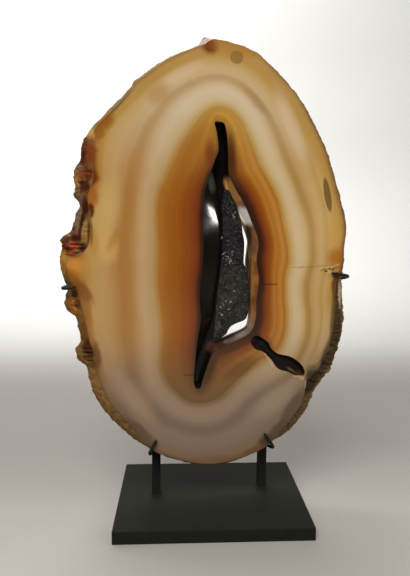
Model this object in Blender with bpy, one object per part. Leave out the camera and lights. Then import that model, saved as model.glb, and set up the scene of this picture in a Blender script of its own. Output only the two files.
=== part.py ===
# Agate slice on a small metal stand.
# A thick slice of banded agate stands upright on a flat plate, turned a little to one side.
# Two square posts rise behind it, and four bent wire prongs reach round its edge and hold it.
# Metres, +Z up. The origin is the middle of the plate's underside.

import math
import random

import bmesh
import bpy
from mathutils import Vector, noise

MM = 0.001
TOUCH_GAP = 0.3 * MM

# Plate
PLATE_WIDTH = 140.0 * MM
PLATE_DEPTH = 101.6 * MM
PLATE_HEIGHT = 9.5 * MM
PLATE_EDGE = 0.5 * MM

# The posts and the slice share a frame that is turned on the plate.
STAND_OFFSET = (-0.3 * MM, 0.7 * MM, 0.0)
STAND_TURN = math.radians(5.5)

# Posts: their front faces lie on the frame's X axis.
POST_SIDE = 6.35 * MM
POST_EDGE = 0.4 * MM
POST_X = 41.6 * MM
POST_TOP = 165.0 * MM

# Slice
SLICE_THICKNESS = 12.0 * MM
SLICE_BACK = -TOUCH_GAP
SLICE_FRONT = SLICE_BACK - SLICE_THICKNESS
RIM_POINTS = 264
# Layers of the rind: depth behind the polished face in mm, share of the flare, roughness in mm.
RIND_LAYERS = [(1.4, 0.34, 0.5), (5.0, 0.76, 0.9), (9.0, 1.0, 0.9), (11.2, 0.94, 0.6)]
BACK_SHARE = 0.86
# How often the rind's broad lumps, small lumps and pits come, per mm.
BROAD_LUMPS = 0.16
SMALL_LUMPS = 0.45
PITS = 0.3
# Broad stretches of rind are pitted: from this flare in mm, this much per mm of flare.
PIT_FLARE = 6.0
PIT_DEPTH = 0.45
PITTED_LAYERS = (0, 1)
HOLLOW_POINTS = 112
WINDOW_POINTS = 56
VEIN_POINTS = 22

# Wire prongs
WIRE_RADIUS = 1.2 * MM
WIRE_STEP = 2.6 * MM

# Middle line of the nodule, in mm.
CORE_X = -4.0
CORE_LOW = 130.0
CORE_HIGH = 250.0

# Edges sharper than this stay crisp.
SHARP_ANGLE = math.radians(35.0)

# Rim of the polished face, clockwise from the top, in mm: X, Z, and how far the rough
# rind behind it stands out past the polished edge.
RIM = [
    (-3.0, 341.8, 2.4), (5.0, 341.0, 2.0), (14.0, 339.2, 2.0), (20.0, 337.5, 2.2),
    (24.0, 335.6, 2.0), (29.0, 333.9, 2.2), (35.0, 328.8, 2.4), (45.0, 319.8, 2.8),
    (55.0, 310.0, 3.0), (62.0, 300.6, 3.2), (68.0, 290.8, 3.4), (74.0, 280.6, 3.6),
    (80.0, 268.8, 3.8), (85.3, 254.0, 4.0), (89.8, 240.3, 4.4), (93.4, 228.0, 4.8),
    (95.6, 219.0, 5.0), (96.3, 211.0, 4.8), (95.3, 200.0, 5.0), (95.0, 190.0, 5.2),
    (94.3, 183.5, 5.6), (91.6, 176.5, 7.0), (90.5, 166.0, 9.6), (91.2, 152.0, 10.6),
    (90.7, 142.0, 11.2), (89.0, 132.0, 11.8), (86.3, 124.0, 12.4), (83.0, 116.0, 13.0),
    (80.0, 108.5, 13.6), (75.5, 104.6, 13.6), (71.6, 100.5, 14.4), (70.4, 94.5, 11.6),
    (69.6, 88.5, 10.0), (67.2, 81.5, 9.8), (63.0, 74.8, 9.6), (57.0, 67.2, 9.4),
    (50.5, 59.8, 7.4), (44.6, 52.6, 1.8), (38.0, 48.0, 1.4), (30.0, 44.4, 2.2),
    (20.0, 41.3, 3.0), (10.0, 38.9, 3.2), (0.0, 38.1, 3.2), (-10.0, 38.9, 3.0),
    (-20.0, 41.2, 2.6), (-30.0, 44.2, 2.0), (-38.0, 47.4, 1.4), (-43.8, 50.6, 1.4),
    (-50.0, 57.8, 5.4), (-58.6, 68.6, 8.2), (-65.8, 77.2, 9.0), (-72.4, 85.5, 9.2),
    (-77.4, 93.0, 8.8), (-81.0, 101.0, 8.2), (-83.4, 108.5, 7.4), (-84.6, 115.0, 7.4),
    (-85.2, 120.0, 12.6), (-86.8, 127.5, 12.4), (-88.8, 132.5, 7.2), (-90.8, 142.5, 6.4),
    (-92.3, 150.0, 6.6), (-93.4, 154.5, 11.2), (-94.8, 161.5, 11.6), (-96.6, 169.5, 7.4),
    (-101.0, 176.5, 4.2), (-103.2, 184.0, 4.8), (-102.8, 191.0, 6.2), (-94.5, 195.0, 13.8),
    (-89.2, 200.5, 18.2), (-88.0, 206.0, 19.6), (-87.4, 211.5, 13.2), (-86.6, 223.0, 9.2),
    (-88.4, 229.5, 6.2), (-88.6, 235.5, 10.2), (-86.4, 241.0, 11.2), (-84.2, 248.0, 14.2),
    (-84.6, 253.0, 13.2), (-85.2, 258.0, 8.6), (-84.8, 268.0, 8.2), (-84.4, 276.0, 4.4),
    (-80.8, 282.6, 3.2), (-74.6, 289.0, 2.8), (-65.0, 298.9, 2.6), (-57.4, 307.6, 2.2),
    (-55.0, 311.2, 3.0), (-49.0, 315.8, 2.6), (-40.0, 323.0, 2.4), (-30.0, 329.0, 2.2),
    (-20.0, 333.6, 2.2), (-12.5, 336.6, 2.6), (-8.4, 338.6, 6.4),
]

# Hollow, clockwise from the top, in mm: X, Z on the polished face and X, Z on the ledge
# that it narrows to. Its left wall is a long slope and its right wall is steep.
HOLLOW = [
    (2.0, 287.3, 3.0, 284.5), (6.0, 285.0, 5.4, 283.0), (8.0, 272.0, 7.0, 271.0),
    (8.6, 261.0, 7.8, 260.0), (8.6, 252.0, 8.6, 249.5), (13.5, 240.0, 12.6, 238.0),
    (20.0, 230.0, 18.0, 227.5), (25.5, 220.0, 23.0, 218.5), (30.0, 210.0, 26.8, 209.0),
    (31.6, 202.0, 28.2, 201.0), (30.4, 192.0, 27.6, 191.0), (32.5, 176.0, 28.6, 175.0),
    (31.0, 163.0, 28.6, 162.5), (31.0, 152.0, 28.6, 151.0), (29.5, 143.0, 27.8, 142.5),
    (25.0, 136.3, 24.0, 138.0), (14.0, 131.0, 15.0, 133.2), (4.0, 126.0, 5.5, 129.6),
    (-1.5, 122.0, 0.6, 126.5), (-5.0, 113.0, -4.5, 114.5), (-8.3, 103.0, -9.0, 104.0),
    (-10.0, 97.4, -10.6, 99.8), (-13.4, 97.4, -12.6, 99.8), (-14.8, 104.0, -13.2, 105.0),
    (-14.0, 116.0, -10.5, 117.0), (-12.5, 132.0, -5.0, 133.0), (-10.0, 148.0, 0.5, 148.0),
    (-11.0, 166.0, 2.5, 166.0), (-9.0, 186.0, 5.0, 186.0), (-8.5, 204.0, 6.0, 204.0),
    (-9.0, 222.0, 5.6, 221.0), (-7.5, 240.0, 3.8, 237.0), (-4.0, 252.5, 1.8, 250.0),
    (-0.6, 262.0, 1.4, 261.0), (1.6, 269.0, 2.6, 269.0), (0.2, 280.0, 1.4, 279.0),
    (-1.4, 286.6, 0.8, 284.0),
]
LEDGE_DEPTH = 9.0 * MM

# Window through the ledge, clockwise from its top, in mm.
WINDOW = [
    (9.4, 239.0), (14.0, 232.0), (19.0, 223.5), (23.6, 213.5), (25.8, 205.0), (25.2, 198.0), (24.4, 189.0),
    (25.4, 180.0), (27.2, 171.0), (27.5, 160.0), (27.4, 149.0), (26.4, 142.0), (22.8, 138.6), (14.0, 134.9),
    (7.6, 132.4), (6.2, 137.0), (6.4, 152.0), (8.0, 170.0), (9.6, 188.0), (10.2, 206.0), (9.8, 223.0),
    (8.6, 234.0),
]

# Open vein below the hollow: its upper and lower edges, both running down to the right, in mm.
VEIN_UPPER = [
    (27.4, 132.0), (29.4, 134.8), (32.2, 135.4), (35.6, 133.8), (38.6, 131.8), (41.0, 129.4), (42.4, 126.4),
    (45.0, 123.4), (48.4, 121.3), (52.0, 120.3), (57.0, 119.2), (61.6, 116.8), (65.6, 113.5), (68.2, 110.4),
    (69.6, 106.4),
]
VEIN_LOWER = [
    (27.4, 130.4), (28.8, 127.6), (30.4, 125.6), (33.0, 124.3), (36.2, 123.4), (39.4, 120.9), (42.6, 117.6),
    (44.8, 114.6), (46.6, 111.8), (49.0, 109.6), (52.0, 108.3), (55.4, 107.5), (58.8, 105.8), (62.6, 104.4),
    (68.6, 104.0),
]
VEIN_DEPTH = 5.0 * MM

# Crust of small dark crystals: its left and right edges from the bottom up, in mm.
CRUST_LEFT = [
    (0.3, 130.2), (0.8, 136.0), (1.4, 143.0), (2.2, 152.0), (3.2, 166.0), (5.6, 186.0), (6.6, 204.0),
    (6.4, 220.0), (5.4, 233.0), (7.6, 241.5),
]
CRUST_RIGHT = [
    (3.4, 131.3), (9.6, 135.0), (11.6, 138.4), (13.8, 141.4), (17.8, 143.5), (21.8, 144.9), (24.2, 146.2),
    (25.5, 149.4), (26.8, 154.0), (27.2, 160.0), (27.0, 170.0), (25.2, 177.0), (22.7, 182.0), (22.2, 187.0),
    (23.0, 197.0), (23.5, 204.0), (22.4, 211.0), (20.4, 218.0), (15.2, 229.0), (9.8, 240.5),
]
CRUST_ROWS = 40
CRUST_COLUMNS = 7
CRUST_BACK_DEPTH = LEDGE_DEPTH - TOUCH_GAP
CRUST_FACE_DEPTH = 7.6 * MM
CRUST_SWELL = 0.8 * MM
# How far the crystals are out of line, as a share of a column, and how far up or down.
CRUST_JITTER = 0.22
CRUST_SLIP = 0.5 * MM
# How far a crystal's tip stands in front of its base, and how far to the side it may lie.
TIP_HEIGHT = (0.5 * MM, 1.5 * MM)
TIP_SLIP = 0.5 * MM


def make_material(name, color, roughness, metallic=0.0):
    material = bpy.data.materials.new(name)
    material.use_nodes = True
    shader = material.node_tree.nodes["Principled BSDF"]
    shader.inputs["Base Color"].default_value = (*color, 1.0)
    shader.inputs["Roughness"].default_value = roughness
    shader.inputs["Metallic"].default_value = metallic
    return material


def add_object(name, data, material, parent=None):
    data.materials.append(material)
    made = bpy.data.objects.new(name, data)
    made.parent = parent
    bpy.context.collection.objects.link(made)
    return made


def finish_mesh(name, bm):
    bmesh.ops.recalc_face_normals(bm, faces=bm.faces)
    mesh = bpy.data.meshes.new(name)
    bm.to_mesh(mesh)
    bm.free()
    mesh.set_sharp_from_angle(angle=SHARP_ANGLE)
    return mesh


def curve_point(before, start, end, after, share):
    # Catmull-Rom between start and end, for tuples of any length.
    result = []
    for a, b, c, d in zip(before, start, end, after):
        linear = c - a
        square = 2 * a - 5 * b + 4 * c - d
        cube = 3 * b - a - 3 * c + d
        result.append(0.5 * (2 * b + linear * share + square * share ** 2 + cube * share ** 3))
    return tuple(result)


def smooth_samples(points, closed, steps=12):
    count = len(points)
    samples = []
    for index in range(count if closed else count - 1):
        if closed:
            four = [points[(index + shift) % count] for shift in (-1, 0, 1, 2)]
        else:
            four = [points[min(max(index + shift, 0), count - 1)] for shift in (-1, 0, 1, 2)]
        samples += [curve_point(*four, step / steps) for step in range(steps)]
    samples.append(points[0] if closed else points[-1])
    return samples


def even_points(points, count, closed=True, measured=2):
    # Evenly spaced points on the smooth curve; length is measured on the first coordinates.
    samples = smooth_samples(points, closed)
    lengths = [0.0]
    for start, end in zip(samples, samples[1:]):
        lengths.append(lengths[-1] + math.dist(start[:measured], end[:measured]))
    spaces = count if closed else count - 1
    result = []
    place = 0
    for index in range(count):
        target = lengths[-1] * index / spaces
        while place < len(samples) - 2 and lengths[place + 1] < target:
            place += 1
        share = (target - lengths[place]) / max(lengths[place + 1] - lengths[place], 1e-9)
        result.append(tuple(a + (b - a) * share for a, b in zip(samples[place], samples[place + 1])))
    return result


def ring_at(bm, points, depth):
    return [bm.verts.new((x * MM, SLICE_FRONT + depth, z * MM)) for x, z in points]


def bridge(bm, first, second):
    for index in range(len(first)):
        following = (index + 1) % len(first)
        face = bm.faces.new((first[index], first[following], second[following], second[index]))
        face.smooth = True


def fill_between(bm, rings):
    edges = []
    for ring in rings:
        for index, vertex in enumerate(ring):
            other = ring[(index + 1) % len(ring)]
            edges.append(bm.edges.get((vertex, other)) or bm.edges.new((vertex, other)))
    bmesh.ops.triangle_fill(bm, use_beauty=True, use_dissolve=False, edges=edges)


def away_from_core(x, z):
    # The rind leans away from the middle line of the nodule.
    core_z = min(max(z, CORE_LOW), CORE_HIGH)
    return Vector((x - CORE_X, z - core_z)).normalized()


def rind_ring(bm, points, depth, share, roughness, layer):
    # One layer of the rind. Where it is broad it also has pits and ledges in its depth.
    ring = []
    for x, z, flare in points:
        outward = away_from_core(x, z)
        bump = noise.noise(Vector((x * BROAD_LUMPS, z * BROAD_LUMPS, layer * 3.7)))
        bump += 0.6 * noise.noise(Vector((x * SMALL_LUMPS, z * SMALL_LUMPS, layer * 5.1)))
        reach = flare * share + roughness * bump
        pit = 0.0
        if layer in PITTED_LAYERS and flare > PIT_FLARE:
            grain = noise.noise(Vector((x * PITS, z * PITS, layer + 9.5)))
            pit = (flare - PIT_FLARE) * PIT_DEPTH * abs(grain)
        place = Vector((x + outward.x * reach, depth + pit, z + outward.y * reach)) * MM
        ring.append(bm.verts.new(place + Vector((0.0, SLICE_FRONT, 0.0))))
    return ring


def vein_ring(upper, lower, narrowing):
    share = narrowing / 2
    first = [(a + (c - a) * share, b + (d - b) * share) for (a, b), (c, d) in zip(upper, lower)]
    second = [(c + (a - c) * share, d + (b - d) * share) for (a, b), (c, d) in zip(upper, lower)]
    return first + second[::-1]


def make_slice(material, parent):
    bm = bmesh.new()
    rim = even_points(RIM, RIM_POINTS)
    hollow = even_points(HOLLOW, HOLLOW_POINTS)
    window = even_points(WINDOW, WINDOW_POINTS)
    upper = even_points(VEIN_UPPER, VEIN_POINTS, closed=False)
    lower = even_points(VEIN_LOWER, VEIN_POINTS, closed=False)

    face_rim = ring_at(bm, [(x, z) for x, z, flare in rim], 0.0)
    previous = face_rim
    for layer, (depth, share, roughness) in enumerate(RIND_LAYERS):
        ring = rind_ring(bm, rim, depth, share, roughness, layer)
        bridge(bm, previous, ring)
        previous = ring
    back_rim = rind_ring(bm, rim, SLICE_THICKNESS / MM, BACK_SHARE, 0.0, len(RIND_LAYERS))
    bridge(bm, previous, back_rim)

    face_hollow = ring_at(bm, [(a, b) for a, b, c, d in hollow], 0.0)
    previous = face_hollow
    for share in (0.05, 0.5, 1.0):
        points = [(a + (c - a) * share, b + (d - b) * share) for a, b, c, d in hollow]
        ring = ring_at(bm, points, LEDGE_DEPTH * share)
        bridge(bm, previous, ring)
        previous = ring
    window_front = ring_at(bm, window, LEDGE_DEPTH)
    window_back = ring_at(bm, window, SLICE_THICKNESS)
    bridge(bm, window_front, window_back)
    fill_between(bm, [previous, window_front])
    fill_between(bm, [back_rim, window_back])

    # The vein narrows with depth towards the line halfway between its two edges.
    face_vein = ring_at(bm, vein_ring(upper, lower, 0.0), 0.0)
    previous = face_vein
    for share, depth in ((0.16, 0.5), (0.5, 1.0)):
        ring = ring_at(bm, vein_ring(upper, lower, share), VEIN_DEPTH * depth)
        bridge(bm, previous, ring)
        previous = ring
    fill_between(bm, [previous])
    fill_between(bm, [face_rim, face_hollow, face_vein])
    return add_object("agate_slice", finish_mesh("agate_slice", bm), material, parent)


def make_crust(material, parent):
    # Each cell of the crust is one flat-faced crystal with its tip towards the front.
    draw = random.Random(7)
    left = even_points(CRUST_LEFT, CRUST_ROWS + 1, closed=False)
    right = even_points(CRUST_RIGHT, CRUST_ROWS + 1, closed=False)
    bm = bmesh.new()
    grid = []
    for row, (start, end) in enumerate(zip(left, right)):
        line = []
        for column in range(CRUST_COLUMNS + 1):
            share = column / CRUST_COLUMNS
            inside = 0 < row < CRUST_ROWS and 0 < column < CRUST_COLUMNS
            if inside:
                share += draw.uniform(-CRUST_JITTER, CRUST_JITTER) / CRUST_COLUMNS
            x = (start[0] + (end[0] - start[0]) * share) * MM
            z = (start[1] + (end[1] - start[1]) * share) * MM
            swell = CRUST_SWELL * math.sin(math.pi * share) if inside else 0.0
            if inside:
                z += draw.uniform(-CRUST_SLIP, CRUST_SLIP)
            depth = CRUST_FACE_DEPTH - swell - draw.uniform(0.0, 0.4) * MM
            line.append(bm.verts.new((x, SLICE_FRONT + depth, z)))
        grid.append(line)
    cells = []
    for low, high in zip(grid, grid[1:]):
        for column in range(CRUST_COLUMNS):
            cells.append(bm.faces.new((low[column], low[column + 1], high[column + 1], high[column])))
    tips = bmesh.ops.poke(bm, faces=cells, offset=0.0, center_mode='MEAN')["verts"]
    for tip in tips:
        tip.co.x += draw.uniform(-TIP_SLIP, TIP_SLIP)
        tip.co.z += draw.uniform(-TIP_SLIP, TIP_SLIP)
        tip.co.y -= draw.uniform(*TIP_HEIGHT)
    right_side = [line[-1] for line in grid[1:]]
    left_side = [line[0] for line in grid[-2:0:-1]]
    border = grid[0] + right_side + grid[-1][-2::-1] + left_side
    back_y = SLICE_FRONT + CRUST_BACK_DEPTH
    back = [bm.verts.new((vertex.co.x, back_y, vertex.co.z)) for vertex in border]
    bridge(bm, border, back)
    bm.faces.new(back)
    return add_object("druzy_crust", finish_mesh("druzy_crust", bm), material, parent)


def make_block(name, size, edge, material, location, parent=None):
    bm = bmesh.new()
    bmesh.ops.create_cube(bm, size=1.0)
    bmesh.ops.scale(bm, vec=size, verts=bm.verts)
    bmesh.ops.bevel(bm, geom=bm.edges[:], offset=edge, segments=2, profile=0.5, affect='EDGES')
    for face in bm.faces:
        face.smooth = True
    made = add_object(name, finish_mesh(name, bm), material, parent)
    made.location = location
    return made


def make_wire(name, route, material, parent):
    # Round wire bent along a smooth route, given in mm in the turned frame.
    samples = smooth_samples([Vector(point) for point in route], closed=False)
    length = sum(math.dist(start, end) for start, end in zip(samples, samples[1:])) * MM
    points = even_points(route, round(length / WIRE_STEP) + 1, closed=False, measured=3)
    curve = bpy.data.curves.new(name, 'CURVE')
    curve.dimensions = '3D'
    curve.bevel_depth = WIRE_RADIUS
    curve.bevel_resolution = 2
    curve.use_fill_caps = True
    spline = curve.splines.new('POLY')
    spline.points.add(len(points) - 1)
    for place, (x, y, z) in zip(spline.points, points):
        place.co = (x * MM, y * MM, z * MM, 1.0)
    return add_object(name, curve, material, parent)


def main():
    for item in list(bpy.data.objects):
        bpy.data.objects.remove(item, do_unlink=True)

    agate = make_material("agate", (0.52, 0.33, 0.16), 0.12)
    crystals = make_material("dark_crystals", (0.035, 0.03, 0.028), 0.25)
    paint = make_material("black_paint", (0.02, 0.02, 0.018), 0.4)

    frame = bpy.data.objects.new("turned_frame", None)
    frame.location = STAND_OFFSET
    frame.rotation_euler = (0.0, 0.0, STAND_TURN)
    bpy.context.collection.objects.link(frame)

    plate_size = (PLATE_WIDTH, PLATE_DEPTH, PLATE_HEIGHT)
    make_block("base_plate", plate_size, PLATE_EDGE, paint, (0.0, 0.0, PLATE_HEIGHT / 2))

    post_foot = PLATE_HEIGHT + TOUCH_GAP
    post_height = POST_TOP - post_foot
    for name, side in (("left_post", -1), ("right_post", 1)):
        place = (side * POST_X, POST_SIDE / 2, post_foot + post_height / 2)
        make_block(name, (POST_SIDE, POST_SIDE, post_height), POST_EDGE, paint, place, frame)

    make_slice(agate, frame)
    make_crust(crystals, frame)

    # Foot prongs leave the posts' front faces, pass under the slice and rise on its face.
    make_wire("left_foot_prong", [
        (-43.4, -0.4, 46.4), (-44.4, -4.0, 46.7), (-45.8, -9.0, 47.6), (-46.9, -12.3, 48.7),
        (-47.1, -13.7, 50.2), (-46.0, -13.9, 52.4), (-42.1, -13.9, 59.2),
    ], paint, frame)
    make_wire("right_foot_prong", [
        (43.4, -0.4, 46.8), (44.0, -4.0, 47.1), (45.0, -9.0, 47.8), (45.9, -12.3, 48.8),
        (45.6, -13.7, 50.3), (43.9, -13.9, 52.9), (38.8, -13.9, 60.5),
    ], paint, frame)
    # Side wires leave the posts' outer sides, run behind the slice and hook round its rim.
    make_wire("left_side_wire", [
        (-45.2, 3.2, 152.0), (-60.0, 3.0, 157.3), (-80.0, 2.6, 164.5), (-97.0, 2.6, 169.8),
        (-104.2, 1.6, 171.2), (-106.7, -2.5, 171.5), (-106.9, -9.5, 171.6), (-105.3, -13.4, 171.8),
        (-102.0, -13.9, 172.1), (-97.4, -13.9, 172.8),
    ], paint, frame)
    make_wire("right_side_wire", [
        (45.2, 3.2, 160.0), (60.0, 3.0, 164.8), (80.0, 2.6, 171.0), (94.0, 2.4, 174.8),
        (100.0, 1.2, 176.1), (102.5, -3.0, 177.2), (102.0, -9.0, 178.5), (99.2, -13.2, 179.6),
        (95.0, -13.9, 180.4), (87.2, -13.9, 181.5),
    ], paint, frame)


main()
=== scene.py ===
# Agate slice on a small metal stand.
# The plate and posts are the frame's own. The stone, its crystals, the wires and the welds are made here.
import math
import random

import bmesh
import bpy
from mathutils import Matrix, Vector, noise


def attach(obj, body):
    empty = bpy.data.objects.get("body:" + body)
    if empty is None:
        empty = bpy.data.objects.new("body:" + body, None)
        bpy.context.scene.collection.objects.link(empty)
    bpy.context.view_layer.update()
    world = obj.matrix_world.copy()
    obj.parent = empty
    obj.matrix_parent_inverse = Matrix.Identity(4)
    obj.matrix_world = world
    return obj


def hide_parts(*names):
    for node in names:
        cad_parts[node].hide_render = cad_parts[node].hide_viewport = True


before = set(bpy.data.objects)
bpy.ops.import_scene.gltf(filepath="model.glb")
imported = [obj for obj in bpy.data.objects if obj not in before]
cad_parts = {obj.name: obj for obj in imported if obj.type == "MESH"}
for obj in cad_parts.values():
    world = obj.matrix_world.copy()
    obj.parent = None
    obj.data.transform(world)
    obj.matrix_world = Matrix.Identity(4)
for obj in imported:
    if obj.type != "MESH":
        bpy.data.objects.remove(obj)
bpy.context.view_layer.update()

mm = 0.001
scene = bpy.context.scene
scene.view_settings.view_transform = 'Standard'

# The slice and the posts are turned on the plate, so they are made square and turned last.
stand = {"shift": (-0.3, 0.7, 0.0), "turn": 5.5}
standTurn = Matrix.Translation(Vector(stand["shift"]) * mm) @ Matrix.Rotation(math.radians(stand["turn"]), 4, 'Z')


# Small helpers for modelling

def deselectAll():
    bpy.ops.object.select_all(action='DESELECT')


def namePiece(name):
    piece = bpy.context.object
    piece.name = name
    piece.data.name = name
    return piece


def pickPiece(piece):
    deselectAll()
    piece.select_set(True)
    bpy.context.view_layer.objects.active = piece


def applyModifiers(piece):
    pickPiece(piece)
    for modifier in list(piece.modifiers):
        bpy.ops.object.modifier_apply(modifier=modifier.name)


def closeAndFaceOut(piece, mergeDistance=0.00001):
    pickPiece(piece)
    bpy.ops.object.mode_set(mode='EDIT')
    bpy.ops.mesh.select_all(action='SELECT')
    bpy.ops.mesh.remove_doubles(threshold=mergeDistance)
    bpy.ops.mesh.normals_make_consistent(inside=False)
    bpy.ops.object.mode_set(mode='OBJECT')


def smoothPiece(piece, angle=35.0):
    pickPiece(piece)
    bpy.ops.object.shade_smooth_by_angle(angle=math.radians(angle))


def turnOntoStand(piece):
    piece.data.transform(standTurn)
    piece.data.update()


def curveBetween(before, start, end, after, share):
    point = []
    for a, b, c, d in zip(before, start, end, after):
        point.append(0.5 * (2 * b + (c - a) * share + (2 * a - 5 * b + 4 * c - d) * share ** 2
                            + (3 * b - a - 3 * c + d) * share ** 3))
    return tuple(point)


def curvePoints(points, closed, steps=12):
    count = len(points)
    line = []
    for index in range(count if closed else count - 1):
        if closed:
            four = [points[(index + shift) % count] for shift in (-1, 0, 1, 2)]
        else:
            four = [points[min(max(index + shift, 0), count - 1)] for shift in (-1, 0, 1, 2)]
        line += [curveBetween(*four, step / steps) for step in range(steps)]
    line.append(points[0] if closed else points[-1])
    return line


def evenAlong(line, count, last=False, measured=2):
    # Evenly spaced points along a line of close points.
    lengths = [0.0]
    for start, end in zip(line, line[1:]):
        lengths.append(lengths[-1] + math.dist(start[:measured], end[:measured]))
    spaces = count - 1 if last else count
    result = []
    place = 0
    for index in range(count):
        target = lengths[-1] * index / spaces
        while place < len(line) - 2 and lengths[place + 1] < target:
            place += 1
        share = (target - lengths[place]) / max(lengths[place + 1] - lengths[place], 1e-9)
        result.append(tuple(a + (b - a) * share for a, b in zip(line[place], line[place + 1])))
    return result


def blendPoints(first, second, share):
    return [tuple(a + (b - a) * share for a, b in zip(one, other)) for one, other in zip(first, second)]


# Small helpers for finishes. Each node is made after the ones that it reads: the renderer then holds fewer
# values at once, which matters for the polished face with its many stains.

def stoneColor(red, green, blue):
    # A colour as it looks on screen, 0 to 255, for a shader.
    linear = [(part / 255 / 12.92) if part < 10.3 else ((part / 255 + 0.055) / 1.055) ** 2.4
              for part in (red, green, blue)]
    return (*linear, 1.0)


def plug(tree, value, socket):
    if isinstance(value, bpy.types.NodeSocket):
        tree.links.new(value, socket)
    else:
        socket.default_value = value


def mathNode(tree, operation, first, second=0.0):
    node = tree.nodes.new('ShaderNodeMath')
    node.operation = operation
    plug(tree, first, node.inputs[0])
    plug(tree, second, node.inputs[1])
    return node.outputs[0]


def vectorNode(tree, operation, first, second=(0.0, 0.0, 0.0)):
    node = tree.nodes.new('ShaderNodeVectorMath')
    node.operation = operation
    plug(tree, first, node.inputs[0])
    if operation == 'SCALE':
        plug(tree, second, node.inputs["Scale"])
    elif operation != 'LENGTH':
        plug(tree, second, node.inputs[1])
    return node.outputs["Value" if operation == 'LENGTH' else "Vector"]


def smoothStep(tree, value, start, end, low=0.0, high=1.0):
    node = tree.nodes.new('ShaderNodeMapRange')
    node.interpolation_type = 'SMOOTHSTEP'
    plug(tree, value, node.inputs["Value"])
    for name, number in (("From Min", start), ("From Max", end), ("To Min", low), ("To Max", high)):
        plug(tree, number, node.inputs[name])
    return node.outputs["Result"]


def noiseNode(tree, place, scale, detail=2.0, roughness=0.5, colored=False):
    node = tree.nodes.new('ShaderNodeTexNoise')
    plug(tree, place, node.inputs["Vector"])
    node.inputs["Scale"].default_value = scale
    node.inputs["Detail"].default_value = detail
    node.inputs["Roughness"].default_value = roughness
    return node.outputs["Color" if colored else "Fac"]


def splitPlace(tree, place):
    # The three numbers of a place, as sockets X, Y and Z.
    node = tree.nodes.new('ShaderNodeSeparateXYZ')
    tree.links.new(place, node.inputs["Vector"])
    return node.outputs


def cellNode(tree, place, scale, output="Distance"):
    node = tree.nodes.new('ShaderNodeTexVoronoi')
    plug(tree, place, node.inputs["Vector"])
    node.inputs["Scale"].default_value = scale
    return node.outputs[output]


def rampNode(tree, value, stops):
    node = tree.nodes.new('ShaderNodeValToRGB')
    plug(tree, value, node.inputs["Fac"])
    elements = node.color_ramp.elements
    while len(elements) < len(stops):
        elements.new(1.0)
    for element, (position, color) in zip(elements, stops):
        element.position = position
        element.color = stoneColor(*color)
    return node.outputs["Color"]


def mixNode(tree, factor, first, second):
    node = tree.nodes.new('ShaderNodeMix')
    node.data_type = 'RGBA'
    plug(tree, factor, node.inputs[0])
    plug(tree, first, node.inputs[6])
    plug(tree, second, node.inputs[7])
    return node.outputs[2]


def bumpNode(tree, height, strength, distance):
    node = tree.nodes.new('ShaderNodeBump')
    plug(tree, height, node.inputs["Height"])
    node.inputs["Strength"].default_value = strength
    node.inputs["Distance"].default_value = distance
    return node.outputs["Normal"]


def newFinish(name, **values):
    finish = bpy.data.materials.new(name)
    finish.use_nodes = True
    shader = finish.node_tree.nodes["Principled BSDF"]
    for socket, value in values.items():
        shader.inputs[socket.replace("_", " ")].default_value = value
    return finish, finish.node_tree, shader


def newGroup(name, inputs, output):
    group = bpy.data.node_groups.new(name, 'ShaderNodeTree')
    for label, kind, value in inputs:
        socket = group.interface.new_socket(name=label, in_out='INPUT', socket_type=kind)
        if value is not None:
            socket.default_value = value
    group.interface.new_socket(name=output[0], in_out='OUTPUT', socket_type=output[1])
    start = group.nodes.new('NodeGroupInput')
    end = group.nodes.new('NodeGroupOutput')
    return group, start.outputs, end.inputs


def turnedFrom(group, start, place):
    # How far a place is from the group's own middle, turned to the group's own turn.
    middle = group.nodes.new('ShaderNodeCombineXYZ')
    group.links.new(start["Across"], middle.inputs["X"])
    group.links.new(start["Up"], middle.inputs["Z"])
    offset = vectorNode(group, 'SUBTRACT', place, middle.outputs["Vector"])
    angle = mathNode(group, 'RADIANS', start["Turn"])
    turned = group.nodes.new('ShaderNodeVectorRotate')
    turned.rotation_type = 'Y_AXIS'
    group.links.new(offset, turned.inputs["Vector"])
    group.links.new(angle, turned.inputs["Angle"])
    return turned.outputs["Vector"]


def placeGroup(tree, group, **values):
    node = tree.nodes.new('ShaderNodeGroup')
    node.node_tree = group
    for label, value in values.items():
        plug(tree, value, node.inputs[label.replace("_", " ")])
    return node.outputs[0]


# Shared effects

def makeStandPlace():
    # Object coordinates turned square to the slice and counted in millimetres.
    group, start, end = newGroup("standPlace", [], ("Place", 'NodeSocketVector'))
    coordinates = group.nodes.new('ShaderNodeTexCoord')
    turned = group.nodes.new('ShaderNodeMapping')
    turned.vector_type = 'TEXTURE'
    turned.inputs["Location"].default_value = Vector(stand["shift"]) * mm
    turned.inputs["Rotation"].default_value = (0.0, 0.0, math.radians(stand["turn"]))
    turned.inputs["Scale"].default_value = (mm, mm, mm)
    group.links.new(coordinates.outputs["Object"], turned.inputs["Vector"])
    group.links.new(turned.outputs["Vector"], end["Place"])
    return group


def makeEdgeWobble():
    # What makes the stains' edges ragged. It stands outside the stains, so that it is worked out once and first.
    group, start, end = newGroup("edgeWobble", [("Place", 'NodeSocketVector', None)], ("Wobble", 'NodeSocketVector'))
    group.links.new(noiseNode(group, start["Place"], 0.22, 3.0, 0.6, True), end["Wobble"])
    return group


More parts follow.
